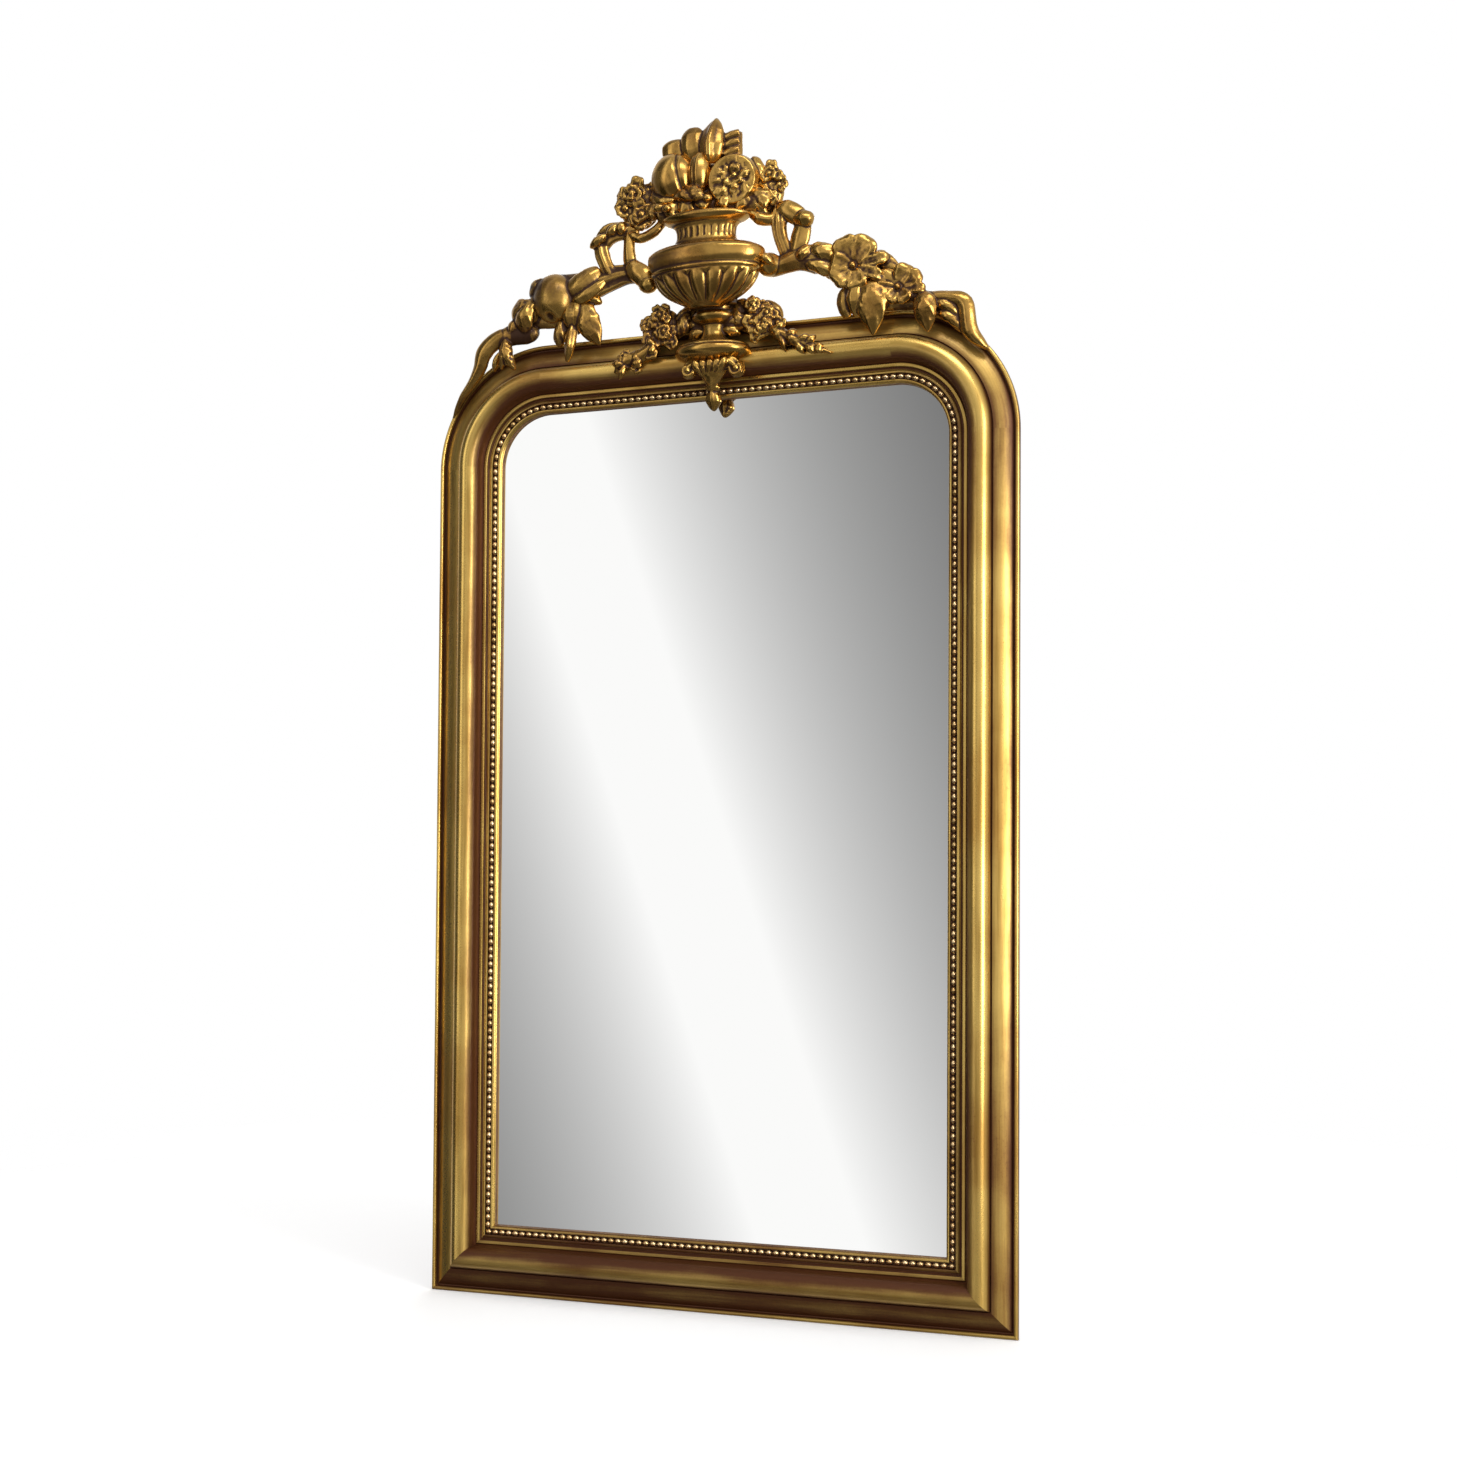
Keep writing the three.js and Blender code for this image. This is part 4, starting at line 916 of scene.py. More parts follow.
def drop_front(t, v, w):
    return 1.0, w * (1 - 0.16 * math.exp(-(((abs(v) - 0.5) / 0.16) ** 2)))


carve(
    "pendant_drop",
    [
        limb([(-4, -74, 37, 4, 7), (4, -75, 40, 5, 8), (12, -74, 37, 4, 7)]),
        limb(
            [
                (4, -77, 36, 5, 8),
                (3.5, -83, 36, 8.8, 9),
                (3, -89, 35, 10.4, 8.6),
                (2.5, -95, 33, 6.4, 6),
                (2, -100, 30, 1.6, 2),
            ],
            drop_front,
        ),
    ],
    back=False,
    tooling=0.1,
)

# The fruit in the urn's mouth: a peach with its crease, a pomegranate cut open on its seeds,
# a plum between them, and a bed of leaves and berries that hangs over the rim.


def peach_front(way):
    crease = math.exp(-(((way[0] - 0.42 + 0.2 * way[1]) / 0.09) ** 2))
    return 1 - 0.12 * crease * max(way[2], 0)


# Painted shade on the left side of the peach and its leaf.
carve(
    "fruit_peach",
    [
        ball(-43, 175, 49, 28, 30, 22, peach_front, 40),
        leaf(
            [(-70, 164, 46, 3, 5), (-64, 152, 54, 5, 5), (-50, 146, 58, 5, 5), (-38, 148, 56, 2, 4)]
        ),
    ],
    painted_shade=lambda x, up: 0.3 * (x < -54) * (up < 180),
    tooling=0.1,
)


def pomegranate_front(way):
    """The opened face is a dish of seeds inside a thick broken rim."""
    facing = way[0] * 0.12 - way[1] * 0.06 + way[2] * 0.99
    dish = step(facing, 0.56, 0.66)
    seeds = noise.noise(Vector(way) * 3.4) * 0.22 + noise.noise(Vector(way) * 8) * 0.07
    rim = 0.09 * math.exp(-(((facing - 0.56) / 0.06) ** 2))
    broken = 1 - 0.7 * max(way[0] * 0.8 - way[1] * 0.6, 0)
    return (1 - dish) + dish * (0.58 / max(facing, 0.5) + seeds) + rim * broken


def petal(x, up, h, angle, long, wide, rise):
    """A cupped petal from a flower's heart outwards, creased down its middle."""
    dx, du = math.cos(angle) * long, math.sin(angle) * long

    def front(t, v, w):
        if w <= 0:
            return 1.0, w
        crease = 0.24 * math.exp(-((v / 0.22) ** 2))
        return 1.0, w * 0.7 + 0.38 * v * v - crease + 0.08 * math.cos(v * 9)

    stations = [
        (x + dx * share, up + du * share, h + rise * lift, wide * broad, rise * thick)
        for share, lift, broad, thick in (
            (0.1, 0, 0.4, 0.5), (0.5, 0.15, 1, 0.7), (0.82, 0.5, 0.95, 0.6), (1, 0.1, 0.5, 0.4)
        )
    ]  # fmt: skip
    return limb(stations, front, steps=4, sides=14)


def floret(x, up, h, radius, petals=5, turn=0.0, heart=0.3, rise=0.4):
    """An open flower: petals round a seeded heart."""
    made = []
    for i in range(petals):
        long = radius * (1 + 0.2 * math.sin(x + turn * 9 + i * 2.4))
        angle = turn + (math.tau * i + 0.9 * math.sin(up + i * 1.9)) / petals
        lift = h + radius * 0.16 * math.sin(x * 1.3 + i * 2.9)
        made.append(petal(x, up, lift, angle, long, long * 0.95 * math.pi / petals, radius * rise))
    core = radius * heart
    made.append(ball(x, up, h + radius * rise * 0.55, core, core, core * 0.9, sides=9))
    return made


def rosette(x, up, h, radius, turn=0.0):
    """A full flower: a ring of outer petals and a smaller flower on top of it."""
    outer = floret(x, up, h, radius, 7, turn)
    return outer + floret(x, up, h + radius * 0.34, radius * 0.6, 5, turn + 0.5, 0.36, 0.5)


carve(
    "fruit_pomegranate",
    [
        ball(33, 162, 50, 32, 32, 22, pomegranate_front, 60),
        *floret(37, 166, 59, 14, 5, 0.3, 0.2, 0.5),
        leaf([(54, 190, 44, 4, 6), (62, 176, 48, 7, 6), (64, 160, 44, 2, 4)], veins=3),
    ],
    tooling=0.2,
)

fruit_bed = [
    ball(-8, 176, 54, 14, 25, 15, lambda way: 1 - 0.08 * math.exp(-(((way[0] + 0.3) / 0.12) ** 2))),
    limb([(-62, 136, 44, 14, 12), (0, 138, 46, 20, 14), (62, 136, 44, 14, 12)], tips=False),
    limb([(-58, 152, 42, 12, 9), (0, 154, 44, 14, 10), (60, 150, 42, 12, 9)], tips=False),
    leaf([(-26, 160, 54, 4, 6), (-12, 150, 66, 8, 6), (4, 140, 68, 3, 4)]),
    leaf([(-40, 150, 54, 4, 6), (-26, 149, 66, 6, 5), (-12, 141, 66, 3, 4)]),
    ball(-56, 137, 64, 8, 5.5, 6, sides=14),
    ball(-44, 134, 68, 6, 5, 6, sides=12),
    ball(6, 141, 66, 6, 5, 6, sides=12),
]
for i in range(7):
    x0 = -57 + 19 * i
    lean = (x0 - URN_X) * 0.2
    turn = 7 * math.sin(i * 2.2)
    front_h = 64 - abs(lean)
    foot = (x0 + lean + turn, 127 + 2 * math.cos(i * 1.7), front_h, 3, 4)
    root, belly = (x0 - turn, 150, 50, 6, 6), (x0 + lean, 139, front_h - 1, 9, 6)
    fruit_bed.append(leaf([root, belly, foot], veins=4))
# Painted shade on the low part of the leaf bed, all but a strip left of the middle.
carve(
    "fruit_pears",
    fruit_bed,
    painted_shade=lambda x, up: 0.4 * (up < 150) * (abs(x + 36) > 14),
    tooling=0.15,
)

# The leaves that stand behind the fruit: a square one, a round one, a pointed one with a
# bright ridge and a ribbed one, all rooted in a thick stem between the fruit.
def blade(stations, ridge=0.3):
    """A broad smooth leaf, nearly flat, with one soft ridge or channel along its middle."""

    def front(t, v, w):
        if w <= 0:
            return 1.0, w
        return 1.0, 0.55 * w + 0.25 * (1 - abs(v)) + ridge * math.exp(-((v / 0.2) ** 2))

    return limb(stations, front)


ribbed = []
for k in range(5):
    up = 178 + 9.5 * k
    rise = [(20, up, 47, 5, 5), (29, up + 2, 48, 5.4, 5), (38, up + 4, 46, 5, 5)]
    ribbed.append(limb(rise, tips=False))
carve(
    "bouquet_leaves",
    [
        blade([(-36, 190, 46, 14, 9), (-42, 206, 50, 16, 8), (-44, 221, 48, 16, 7)], -0.1),
        blade([(-14, 190, 46, 13, 9), (-18, 210, 53, 15, 9), (-20, 232, 49, 14, 7)], -0.15),
        blade(
            [(4, 186, 50, 12, 10), (5, 208, 54, 16, 10), (7, 226, 50, 13, 8), (9, 242, 44, 2, 3)],
            0.6,
        ),
        limb([(28, 182, 43, 12, 8), (29, 200, 44, 12, 8), (29, 222, 43, 11, 7)], tips=False),
        limb([(-46, 199, 37, 12, 8), (-6, 201, 40, 16, 10), (28, 196, 38, 14, 8)], tips=False),
        *ribbed,
    ],
    tooling=0.15,
)

# The flower heads at the urn's shoulders, packed close, each with a curled leaf below.
carve(
    "flowers_left",
    [
        *rosette(-97, 164, 42, 18, 0.2),
        *rosette(-84, 137, 44, 17, 0.9),
        *floret(-108, 149, 42, 13, 6, 0.4),
        *floret(-112, 166, 38, 9, 5, 0.1),
        *floret(-80, 168, 40, 10, 5, 0.8),
        *floret(-68, 148, 44, 10, 5, 0.5),
        strap(
            [(-106, 120, 42, 4, 6), (-88, 110, 46, 5, 6), (-68, 117, 46, 5, 6), (-57, 132, 42, 4, 6)],
            1,
        ),
        leaf([(-74, 156, 42, 3, 5), (-66, 164, 46, 6, 5), (-66, 176, 42, 2, 3)]),
        ball(-90, 150, 38, 26, 28, 9, sides=20),
    ],
)
carve(
    "flowers_right",
    [
        *rosette(75, 167, 42, 15, 0.6),
        *floret(86, 154, 42, 11, 6, 0.2),
        *rosette(74, 143, 44, 12, 0.1),
        *floret(62, 152, 42, 9, 5, 0.7),
        strap(
            [(47, 131, 42, 4, 8), (64, 117, 46, 7, 8), (79, 117, 42, 6, 7), (84, 132, 40, 5, 7)],
            1,
        ),
        leaf([(60, 160, 40, 3, 6), (64, 170, 44, 6, 5), (66, 178, 40, 2, 3)]),
        leaf([(56, 142, 44, 3, 5), (64, 132, 50, 6, 5), (72, 122, 46, 3, 4)]),
        ball(73, 152, 38, 18, 28, 9, sides=20),
    ],
)

# The left wing: a folded ribbon with a knot and a club end joins the flowers to an apple,
# from which leaves hang over the rail; beyond it a branch ends in a scroll on the frame's
# round corner.


def edge_spot(s, degrees, inset):
    """A place on the frame's round corner, as crest right and up in mm."""
    a = math.radians(degrees)
    r = CORNER_R / MM - inset
    return s * (ARC_X / MM + r * math.cos(a)), (ARC_Z - FRAME_H) / MM + r * math.sin(a)


# Painted shade on the lower middle of the ribbon.
carve(
    "ribbon_left",
    [
        strap(
            [(-92, 123, 38, 8, 8), (-112, 123, 41, 9, 8), (-130, 120, 42, 11, 8), (-142, 107, 39, 9, 7)]
        ),
        strap(
            [(-141, 112, 40, 7, 7), (-138, 97, 42, 8, 8), (-131, 80, 42, 7, 8), (-124, 68, 38, 6, 8)],
            2,
        ),
        strap([(-103, 126, 40, 6, 7), (-103, 100, 43, 6, 7), (-102, 78, 41, 8, 7)], 1),
        strap(
            [(-104, 84, 40, 7, 7), (-94, 73, 44, 10, 8), (-83, 64, 44, 11, 9), (-78, 54, 42, 9, 8)],
            1,
        ),
        ball(-78, 54, 43, 12, 10, 10),
        ball(-112, 125, 46, 7, 8, 7, sides=16),
        leaf([(-152, 106, 44, 3, 6), (-142, 112, 50, 5, 6), (-130, 119, 46, 3, 5)]),
        leaf([(-130, 118, 46, 3, 5), (-122, 124, 50, 5, 5), (-116, 130, 46, 2, 4)]),
        strap(
            [(-88, 68, 38, 8, 8), (-108, 71, 38, 10, 9), (-132, 67, 39, 13, 9), (-158, 60, 38, 15, 10)]
        ),
    ],
    painted_shade=lambda x, up: 0.3 * (up < 80) * (x > -146) * (x < -96),
    tooling=0.2,
)


def apple_front(way):
    """A dimple at the apple's lower end."""
    off = math.hypot(way[0] + 0.1, way[2] - 0.45)
    return 1 - 0.2 * math.exp(-((off / 0.3) ** 2)) * (way[1] < 0)


# Painted shade over the apple piece, deeper on its left.
carve(
    "apple_left",
    [
        ball(-201, 50, 42, 27, 30, 21, apple_front, 36),
        leaf([(-208, 70, 40, 7, 8), (-221, 63, 46, 12, 8), (-235, 57, 39, 5, 5)], veins=3),
        leaf([(-212, 50, 40, 7, 8), (-224, 48, 46, 9, 7), (-235, 42, 39, 3, 4)], veins=3),
        limb([(-203, 68, 37, 13, 9), (-176, 64, 37, 16, 10), (-148, 66, 37, 15, 10)], tips=False),
        strap([(-186, 56, 42, 9, 9), (-164, 62, 48, 12, 9), (-142, 80, 42, 9, 8)], 1),
        strap([(-178, 42, 42, 6, 8), (-156, 50, 47, 8, 8), (-132, 66, 42, 5, 6)], 1),
    ],
    painted_shade=lambda x, up: 0.26 + 0.25 * (x < -210),
    tooling=0.12,
)
# Painted shade over the hanging leaves, deeper on the leftmost.
carve(
    "hanging_leaves_left",
    [
        blade([(-176, 48, 41, 10, 8), (-175, 28, 48, 14, 9), (-176, 10, 43, 9, 6)], -0.3),
        blade([(-175, 18, 43, 7, 7), (-178, -8, 47, 7, 7), (-184, -28, 42, 4, 4)], 0.3),
        leaf(
            [(-166, 44, 40, 8, 8), (-155, 17, 47, 15, 8), (-141, -11, 41, 3, 3)],
            veins=3, rib=0.3,
        ),
        leaf([(-190, 26, 37, 7, 8), (-194, 8, 42, 8, 7), (-196, -8, 38, 4, 4)], veins=3),
        leaf([(-168, 42, 38, 5, 7), (-152, 45, 42, 6, 7), (-140, 40, 38, 3, 4)], veins=3),
        limb([(-198, 20, 36, 12, 8), (-178, 22, 37, 18, 8), (-158, 30, 36, 15, 8)], tips=False),
    ],
    painted_shade=lambda x, up: 0.15 + 0.3 * (x < -187),
    tooling=0.2,
)
# Painted shade over the branch, deeper on its low inner part.
carve(
    "branch_left",
    [
        leaf([(-222, 40, 40, 10, 9), (-241, 37, 47, 15, 9), (-258, 39, 41, 9, 6)], veins=3),
        leaf([(-229, 52, 42, 5, 6), (-237, 31, 51, 11, 8), (-241, 12, 43, 6, 5)], veins=3),
        leaf([(-224, 48, 44, 3, 5), (-230, 36, 49, 5, 6), (-234, 22, 44, 2, 4)]),
        leaf([(-250, 30, 40, 4, 6), (-256, 20, 44, 7, 6), (-262, 8, 40, 3, 4)]),
        limb(
            [(-226, 14, 35, 8, 8), (-242, 13, 36, 13, 9), (-262, 12, 38, 13, 9), (-284, 2, 38, 10, 8)]
        ),
        limb([(-236, 28, 34, 9, 7), (-216, 27, 34, 10, 7), (-194, 26, 34, 10, 7)]),
        strap(
            [
                (-262, 16, 38, 8, 8),
                (-283, 5, 42, 9, 8),
                (-296, -8, 43, 9, 8),
                (-303, -24, 40, 7, 8),
                (*edge_spot(-1, 48, 4), 36, 5, 8),
                (*edge_spot(-1, 38, 3), 31, 3.5, 6),
                (*edge_spot(-1, 27, 2), 24, 2, 4),
            ],
            1,
        ),
        leaf([(-266, 8, 40, 5, 8), (-264, -12, 47, 8, 8), (-255, -31, 40, 3, 4)]),
        leaf([(-262, -4, 44, 3, 5), (-268, -16, 48, 4, 5), (-272, -30, 42, 2, 3)]),
        leaf([(-274, -6, 37, 3, 6), (-281, -18, 40, 4, 6), (-285, -30, 37, 2, 4)]),
    ],
    painted_shade=lambda x, up: 0.15 + 0.35 * (up < 17) * (x > -258),
    tooling=0.2,
)

# The right wing: two straps with a club end and a ball join the flowers to an open lily,
# with leaves that hang over the rail; beyond it a second flower and a scroll run out on the
# other corner.
# Painted shade on the low right end of the straps.
carve(
    "straps_right",
    [
        strap(
            [(84, 132, 38, 6, 8), (86, 108, 43, 8, 8), (89, 90, 42, 7, 7), (98, 66, 38, 7, 7)],
            3,
        ),
        strap([(116, 112, 40, 8, 7), (112, 90, 42, 10, 7), (102, 64, 38, 7, 7)], 1),
        strap(
            [(80, 126, 38, 7, 8), (95, 124, 43, 10, 8), (108, 116, 43, 10, 8), (115, 108, 40, 7, 7)],
            1,
        ),
        strap([(104, 112, 40, 5, 7), (117, 111, 46, 8, 9), (128, 108, 42, 7, 7)], 1),
        ball(75, 62, 44, 15, 14, 13),
        leaf([(66, 70, 52, 3, 5), (75, 66, 59, 5, 5), (84, 58, 52, 3, 4)]),
        strap(
            [(64, 55, 38, 7, 10), (92, 61, 41, 9, 10), (116, 66, 40, 12, 10), (146, 58, 39, 15, 11)],
            1,
        ),
        leaf([(110, 66, 44, 4, 6), (118, 70, 50, 6, 6), (126, 79, 44, 3, 4)], veins=3),
        leaf([(124, 76, 42, 7, 7), (140, 70, 46, 10, 8), (156, 64, 42, 7, 5)], veins=3),
        leaf([(118, 60, 42, 5, 7), (136, 54, 45, 8, 7), (152, 44, 41, 5, 5)], veins=3),
    ],
    painted_shade=lambda x, up: 0.25 * (x > 112) * (up < 62),
    tooling=0.2,
)

lily = [
    limb([(146, 58, 35, 16, 10), (176, 46, 34, 22, 10), (206, 34, 34, 18, 9)], tips=False),
    limb([(198, 38, 34, 17, 9), (218, 27, 34, 16, 9), (232, 18, 34, 14, 8)], tips=False),
]
for degrees, long, wide in (
    (111, 36, 16), (56, 36, 17), (7, 42, 8), (-25, 38, 8),
    (-77, 29, 14), (-142, 29, 15), (165, 27, 12),
):  # fmt: skip
    lily.append(petal(177, 50, 44, math.radians(degrees), long, wide, 9))
lily += [
    ball(177, 50, 49, 4, 4, 4, sides=12),
    leaf([(190, 42, 39, 6, 7), (206, 32, 43, 9, 7), (222, 20, 39, 3, 4)], veins=3),
    leaf([(200, 64, 37, 6, 6), (214, 52, 40, 9, 6), (228, 38, 37, 4, 4)], veins=3),
]
# Painted shade on the lily's right side.
carve("lily_large", lily, painted_shade=lambda x, up: 0.2 * (x > 196), tooling=0.25)
# Painted shade on the leftmost and rightmost hanging leaves.
carve(
    "hanging_leaves_right",
    [
        leaf([(195, 34, 40, 10, 8), (199, 8, 48, 18, 8), (200, -31, 41, 3, 3)], veins=3, rib=0.36),
        blade([(182, 32, 41, 8, 8), (180, 12, 48, 11, 8), (180, -8, 42, 5, 4)], -0.2),
        blade([(166, 28, 37, 8, 9), (165, 10, 40, 10, 9), (168, -8, 38, 6, 6)], 0),
        blade([(212, 26, 40, 7, 7), (213, 10, 46, 8, 7), (208, -10, 42, 3, 4)], 0.1),
        limb([(166, 22, 36, 13, 9), (188, 24, 37, 15, 9), (210, 22, 36, 12, 8)], tips=False),
        limb([(204, 5, 33, 8, 7), (230, 4, 33, 7, 7), (256, 3, 33, 9, 7)], tips=False),
    ],
    painted_shade=lambda x, up: 0.35 * (x < 172) + 0.3 * (x > 222),
    tooling=0.2,
)

second_flower = [
    limb([(204, 44, 36, 9, 9), (218, 32, 37, 13, 9), (238, 16, 37, 11, 9)]),
    strap(
        [
            (222, 16, 38, 8, 9),
            (258, 7, 39, 6, 8),
            (287, 4, 40, 6, 8),
            (306, -4, 40, 8, 8),
            (*edge_spot(1, 50, 2), 38, 8, 8),
            (*edge_spot(1, 39, 3), 30, 3, 6),
        ],
        1,
    ),
    leaf([(259, 12, 41, 9, 8), (262, -8, 48, 13, 9), (264, -33, 41, 3, 3)], veins=3, rib=0.34),
    limb([(262, 4, 34, 9, 7), (290, -10, 35, 12, 7), (306, -34, 35, 10, 7)]),
    leaf([(270, 2, 38, 3, 6), (285, -5, 43, 6, 6), (300, -18, 38, 3, 4)]),
    leaf([(272, -12, 37, 3, 5), (288, -18, 42, 6, 5), (303, -34, 37, 2, 3)]),
    ball(230, 20, 48, 3.5, 3.5, 4, sides=12),
]
for degrees, long, wide in (
    (64, 27, 13), (24, 30, 11), (-8, 32, 7), (172, 27, 6), (-60, 20, 10), (-125, 20, 9)
):  # fmt: skip
    second_flower.append(petal(230, 20, 43, math.radians(degrees), long, wide, 8))
carve("scroll_right", second_flower, tooling=0.2)

# The low garlands: blossoms heaped on both sides of the urn's foot, thinning out into small
# sprays that lie along the top rail.


def spray(roots, side, h):
    """Pairs of narrow leaves along a stalk, each pair pointing on and outwards."""
    made = []
    for i, (x, up) in enumerate(roots):
        for turn in (0.8, -0.45):
            a = -0.42 + turn + 0.3 * math.sin(i * 2.3 + turn)
            long = 17 - i + 4 * math.sin(i * 1.7 + turn * 5)
            dx, du = side * math.cos(a) * long, math.sin(a) * long
            belly = (x + dx * 0.55, up + du * 0.55, h + 3, 4.4, 4)
            made.append(leaf([(x, up, h, 2, 4), belly, (x + dx, up + du, h - 1, 1, 2)], veins=3))
    return made


# Painted shade on the garland next to the urn's foot, and lightly on its low outer end.
carve(
    "garland_low_left",
    [
        *rosette(-61, 15, 42, 14, 0.3),
        *rosette(-76, 5, 42, 11, 0.7),
        *rosette(-55, -5, 44, 13, 0.1),
        *floret(-71, -12, 43, 11, 5, 0.6),
        *floret(-46, -18, 44, 8, 5, 0.2),
        *floret(-82, 10, 40, 7, 5, 0.2),
        *floret(-74, -28, 47, 9, 5, 1.1),
        *rosette(-105, -32, 46, 10, 0.5),
        *floret(-92, -41, 46, 9, 6, 0.9),
        *floret(-88, -30, 47, 7, 5, 0.4),
        limb(
            [(-64, -16, 42, 8, 12), (-84, -30, 43, 9, 10), (-104, -35, 45, 8, 8), (-120, -48, 45, 3, 4)]
        ),
        *spray([(-66, -20), (-84, -36), (-104, -40)], -1, 48),
        leaf([(-46, -10, 36, 5, 8), (-33, 4, 41, 8, 8), (-30, 23, 36, 3, 5)]),
        leaf([(-44, 6, 36, 4, 7), (-34, 16, 39, 6, 7), (-22, 26, 36, 2, 4)]),
        ball(-62, 4, 36, 24, 22, 9, sides=16),
    ],
    painted_shade=lambda x, up: 0.45 * (x > -44) + 0.15 * (x < -66) * (up < 0),
)
# Painted shade on the garland next to the urn's foot and on its outer end.
carve(
    "garland_low_right",
    [
        *rosette(57, 16, 42, 12, 0.2),
        *rosette(73, 6, 42, 12, 0.8),
        *rosette(69, -9, 44, 12, 0.4),
        *floret(54, -3, 45, 11, 5, 0.1),
        *floret(85, -6, 41, 9, 5, 0.9),
        *floret(60, -20, 44, 8, 5, 0.5),
        limb(
            [(76, -12, 42, 8, 12), (98, -24, 43, 7, 10), (118, -34, 45, 6, 8), (152, -48, 46, 2, 4)]
        ),
        *spray([(84, -16), (98, -24), (110, -30), (122, -36), (134, -41)], 1, 48),
        leaf([(88, -12, 43, 3, 7), (92, -26, 47, 4.5, 7), (95, -40, 45, 2, 4)]),
        leaf([(50, -10, 36, 5, 8), (36, 4, 41, 8, 8), (36, 26, 36, 3, 5)]),
        leaf([(52, 8, 36, 4, 7), (44, 20, 39, 6, 7), (32, 26, 36, 2, 4)]),
        ball(66, 4, 36, 24, 20, 9, sides=16),
    ],
    painted_shade=lambda x, up: 0.45 * (x < 46) + 0.2 * (x > 90),
)

# --------------------------------------------------------------------- the silvered plate
# Four-millimetre glass, silvered on the back under a coat of grey paint. It lies in the
# rebate behind the lip, so only its flat face shows.
silver, wire = new_material("silvered_glass")
facing = wire.node("NewGeometry", None, None, out=3)
behind = wire.node("SeparateXYZ", None, {0: facing}, out=1).between(0.4, 0.6)
spot = wire.node("TexCoord", None, None, out=3)
haze = spot.grain(6.0, 3.0)
backing = behind.mix(paint(250, 250, 249), paint(96, 92, 88))
surface(
    silver,
    wire,
    Base_Color=backing,
    Metallic=1 - behind,
    Roughness=0.012 + haze * 0.008 + behind * 0.6,
)


def dress(node, material):
    """Gives a solid that stays on show its finish."""
    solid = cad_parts[node]
    for used in solid.material_slots:
        used.material = material


dress("mirror_plate", silver)

# ---------------------------------------------------------------------------- the back
# Three sawn pine boards close the back, nailed at both ends. Pine glue blocks in the rebate,
# between the boards and the glass, hold the glass against the lip. A pine strut screwed to
# the top rail stands up behind the urn and carries it.


def pine_board(name, pale, brown, shift):
    """One board's wood, with long grain from end to end, knots and a damp stain."""
    made, wire = new_material(name)
    whole = wire.node("TexCoord", None, None, out=3)
    spot = wire.node("VectorMath", {"operation": "ADD"}, {0: whole, 1: (shift, 0, shift)})
    lines = spot.grain(34.0, 6.0, (0.22, 5, 5), 0.62)
    years = wire.maths("SINE", spot.grain(4.0, 3.0, (0.22, 5, 5)) * 70.0) * 0.5 + 0.5
    spread = wire.node("VectorMath", {"operation": "MULTIPLY"}, {0: spot, 1: (3.2, 0.1, 6.4)})
    knots = 1 - wire.node("TexVoronoi", None, {"Vector": spread, "Scale": 1.0}).between(0.03, 0.09)
    stain = spot.grain(4.5, 4.0).between(0.5, 0.72)
    sawn = (lines.between(0.35, 0.72) * 0.5 + years * 0.3).mix(pale, brown)
    dusty = (stain * 0.5).mix(sawn, paint(92, 70, 50))
    return surface(
        made,
        wire,
        Base_Color=knots.mix(dusty, paint(62, 36, 20)),
        Roughness=0.78 + (lines - 0.5) * 0.2,
        Normal=wire.node(
            "Bump", None, {"Strength": 0.45, "Distance": 0.3 * MM, "Height": lines + years * 0.3}
        ),
    )


for where, pale, brown, shift in (
    ("lower", paint(160, 120, 78), paint(98, 64, 36), 0.31),
    ("middle", paint(178, 136, 90), paint(112, 74, 42), 1.9),
    ("upper", paint(168, 124, 78), paint(104, 68, 38), 3.4),
):
    dress("backboard_" + where, pine_board(f"board_{where}_pine", pale, brown, shift))
for where in ("left", "right"):
    dress("glue_block_" + where, wood_upright)
for where in ("bottom", "top"):
    dress("glue_block_" + where, wood_level)
# The strut's pine is coloured nearly black-brown: painted shade where it shows between the carvings
# round the urn's foot.
dress("crest_strut", raw_wood("strut_pine_in_shade", paint(64, 44, 27), paint(32, 20, 11), (6, 6, 0.35)))

# Beech keys and dowels hold the mitres and the round corners together, glued in.
beech = raw_wood("beech", paint(188, 146, 98), paint(138, 98, 60), (5, 5, 1), 50.0)
for where in SIDES:
    dress("mitre_key_" + where, beech)
    dress(f"corner_dowel_{where}_side", beech)
    dress(f"corner_dowel_{where}_top", beech)

# --------------------------------------------------------------------- nails and screws
# Cut nails in the boards, dark with rust, and slotted screws in the hanging straps and
# the strut, driven home by hand so that no two slots line up.


def steel(name, clean, rust, amount):
    """Plain steel with a bloom of rust; amount is how much of it the rust has taken."""
    made, wire = new_material(name)
    spot = wire.node("TexCoord", None, None, out=3)
    bloom = spot.grain(260.0, 5.0).between(0.62 - amount, 0.72 - amount * 0.5)
    worn = spot.grain(90.0, 4.0)
    colour = bloom.mix(worn.mix(clean, paint(92, 88, 82)), rust)
    return surface(
        made,
        wire,
        Base_Color=colour,
        Metallic=1 - bloom * 0.9,
        Roughness=0.36 + bloom * 0.4,
    )


nail_iron = steel("nail_iron", paint(96, 92, 88), paint(84, 48, 28), 0.14)
hanger_iron = steel("hanger_iron", paint(164, 160, 152), paint(110, 74, 46), 0.02)

# Across a head, as shares of its radius: the rows of points, and half the slot's width.
HEAD_ROWS = (-0.92, -0.75, -0.5, -0.3, -0.15, -0.11, 0.11, 0.15, 0.3, 0.5, 0.75, 0.92)
SLOT_HALF = 0.13
HEAD_STEPS = 6  # points from the middle of a row to its end
HEAD_DOME, HEAD_EDGE, SLOT_DEPTH = 0.35 * MM, 0.45 * MM, 0.4 * MM


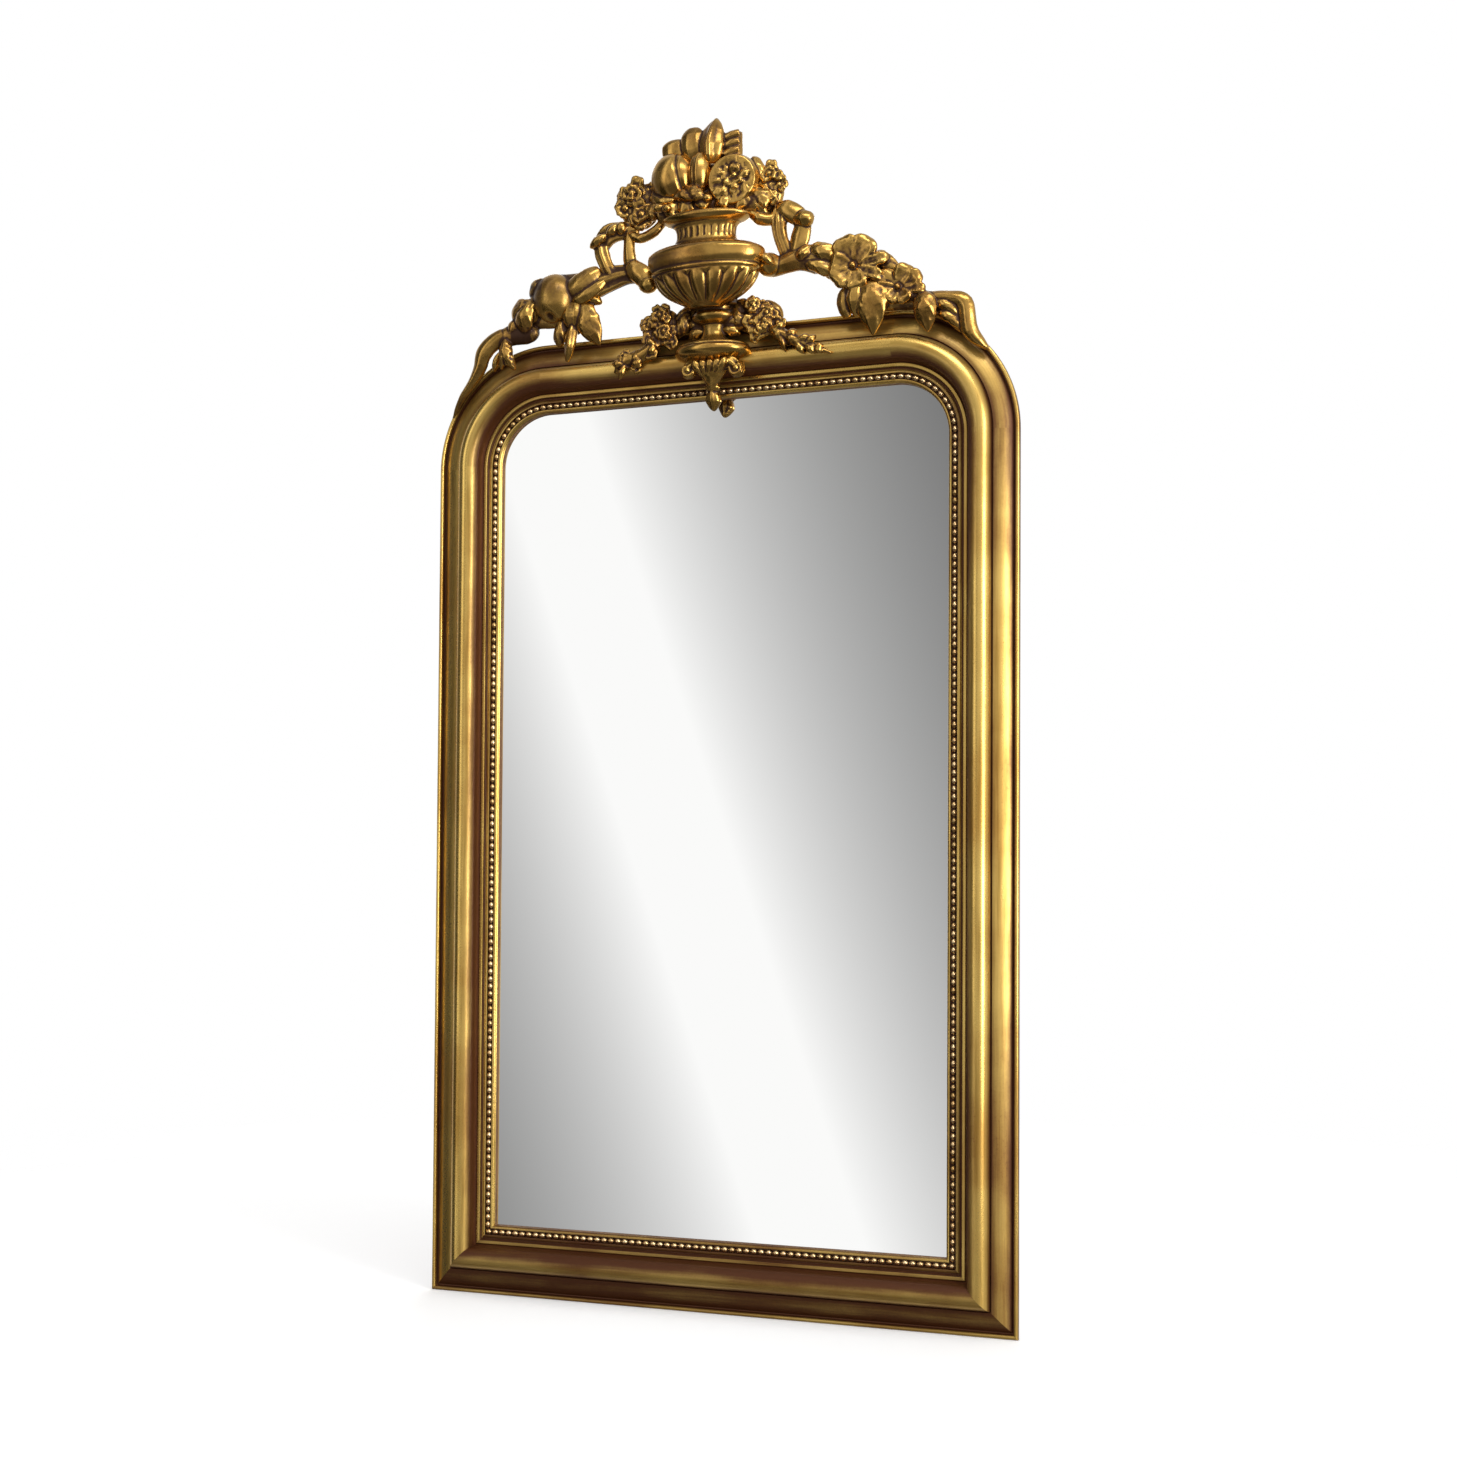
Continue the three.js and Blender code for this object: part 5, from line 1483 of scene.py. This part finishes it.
def headed_pin(node, shank, finish, turn, slotted=True):
    """A domed head over a tapered shank, which stands for the plain pin of that name."""
    low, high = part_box(node)
    x, z = (low[0] + high[0]) / 2, (low[2] + high[2]) / 2
    radius, cut = (high[2] - low[2]) / 2, SLOT_DEPTH * slotted
    verts, faces = [], []

    def put(across, along, sunk):
        right = across * math.cos(turn) - along * math.sin(turn)
        up = across * math.sin(turn) + along * math.cos(turn)
        y = high[1] - HEAD_DOME * (across * across + along * along) - sunk
        verts.append((x + right * radius, y, z + up * radius))
        return len(verts) - 1

    columns = []
    for row in HEAD_ROWS:
        reach, sunk = math.sqrt(1 - row * row) / HEAD_STEPS, cut * (abs(row) < SLOT_HALF)
        columns.append([put(row, reach * k, sunk) for k in range(-HEAD_STEPS, HEAD_STEPS + 1)])
    start, end = put(-1, 0, 0), put(1, 0, 0)
    gaps = range(2 * HEAD_STEPS)
    for left, right in zip(columns, columns[1:]):
        faces += [(left[k], left[k + 1], right[k + 1], right[k]) for k in gaps]
    faces += [(start, columns[0][k + 1], columns[0][k]) for k in gaps]
    faces += [(end, columns[-1][k], columns[-1][k + 1]) for k in gaps]
    edge = [start] + [column[-1] for column in columns] + [end]
    edge += [column[0] for column in reversed(columns)]
    rim = [(verts[i][0] - x, verts[i][2] - z) for i in edge]
    under, thin = high[1] - HEAD_DOME - cut - HEAD_EDGE, shank / radius
    taper = low[1] * 0.8 + under * 0.2
    for share, y in ((1, under), (thin, under), (thin, taper), (thin * 0.12, low[1])):
        ring = [len(verts) + i for i in range(len(rim))]
        verts += [(x + dx * share, y, z + dz * share) for dx, dz in rim]
        faces += [(edge[i - 1], ring[i - 1], ring[i], edge[i]) for i in range(len(ring))]
        edge = ring
    faces.append(tuple(reversed(edge)))
    piece = add_piece(node + "_forged", verts, faces, [finish])
    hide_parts(node)


NAIL_R, SCREW_R = 1.1 * MM, 1.75 * MM  # their shanks
for i, where in enumerate(("lower", "middle", "upper")):
    for k, side in enumerate(SIDES):
        headed_pin(f"board_nail_{where}_{side}", NAIL_R, nail_iron, i + k, False)
for i, where in enumerate(("left_upper", "left_lower", "right_upper", "right_lower")):
    headed_pin("hanger_screw_" + where, SCREW_R, hanger_iron, 0.4 + i * 0.9)
headed_pin("strut_screw", SCREW_R, nail_iron, 0.6)

# ---------------------------------------------------------------------------- the hangers
# A steel strap on each stile, rolled at its top round the straight side of a D-ring, which
# swings freely out from the wall. Cord or hooks go through the two rings.
RING_CORNER = 3 * MM
WIRE_SIDES = 16


def bend(x, z, radius, start, end, steps):
    """Places round a bend as right, up and the angle that points out of it."""
    turns = [math.radians(start + (end - start) * i / steps) for i in range(steps + 1)]
    return [(x + radius * math.cos(a), z + radius * math.sin(a), a) for a in turns]


for where in SIDES:
    dress("hanger_strap_" + where, hanger_iron)
    low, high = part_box("hanger_ring_" + where)
    x, y, thick = (low[0] + high[0]) / 2, (low[1] + high[1]) / 2, (high[1] - low[1]) / 2
    bow_r = (high[0] - low[0]) / 2 - thick
    inner, top = bow_r - RING_CORNER, high[2] - thick - RING_CORNER
    route = bend(x + inner, top, RING_CORNER, 90, 0, 8)
    route += bend(x, low[2] + thick + bow_r, bow_r, 0, -180, 32)
    route += bend(x - inner, top, RING_CORNER, 180, 90, 8)
    verts = []
    for right, up, out in route:
        for k in range(WIRE_SIDES):
            a = math.tau * k / WIRE_SIDES
            reach, off = thick * math.cos(a), thick * math.sin(a)
            verts.append((right + reach * math.cos(out), y + off, up + reach * math.sin(out)))
    faces = []
    for i in range(len(route)):
        here, there = i * WIRE_SIDES, (i + 1) % len(route) * WIRE_SIDES
        for k in range(WIRE_SIDES):
            m = (k + 1) % WIRE_SIDES
            faces.append((here + k, there + k, there + m, here + m))
    ring = add_piece(f"hanger_ring_{where}_wire", verts, faces, [hanger_iron], "ring_" + where)
    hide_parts("hanger_ring_" + where)
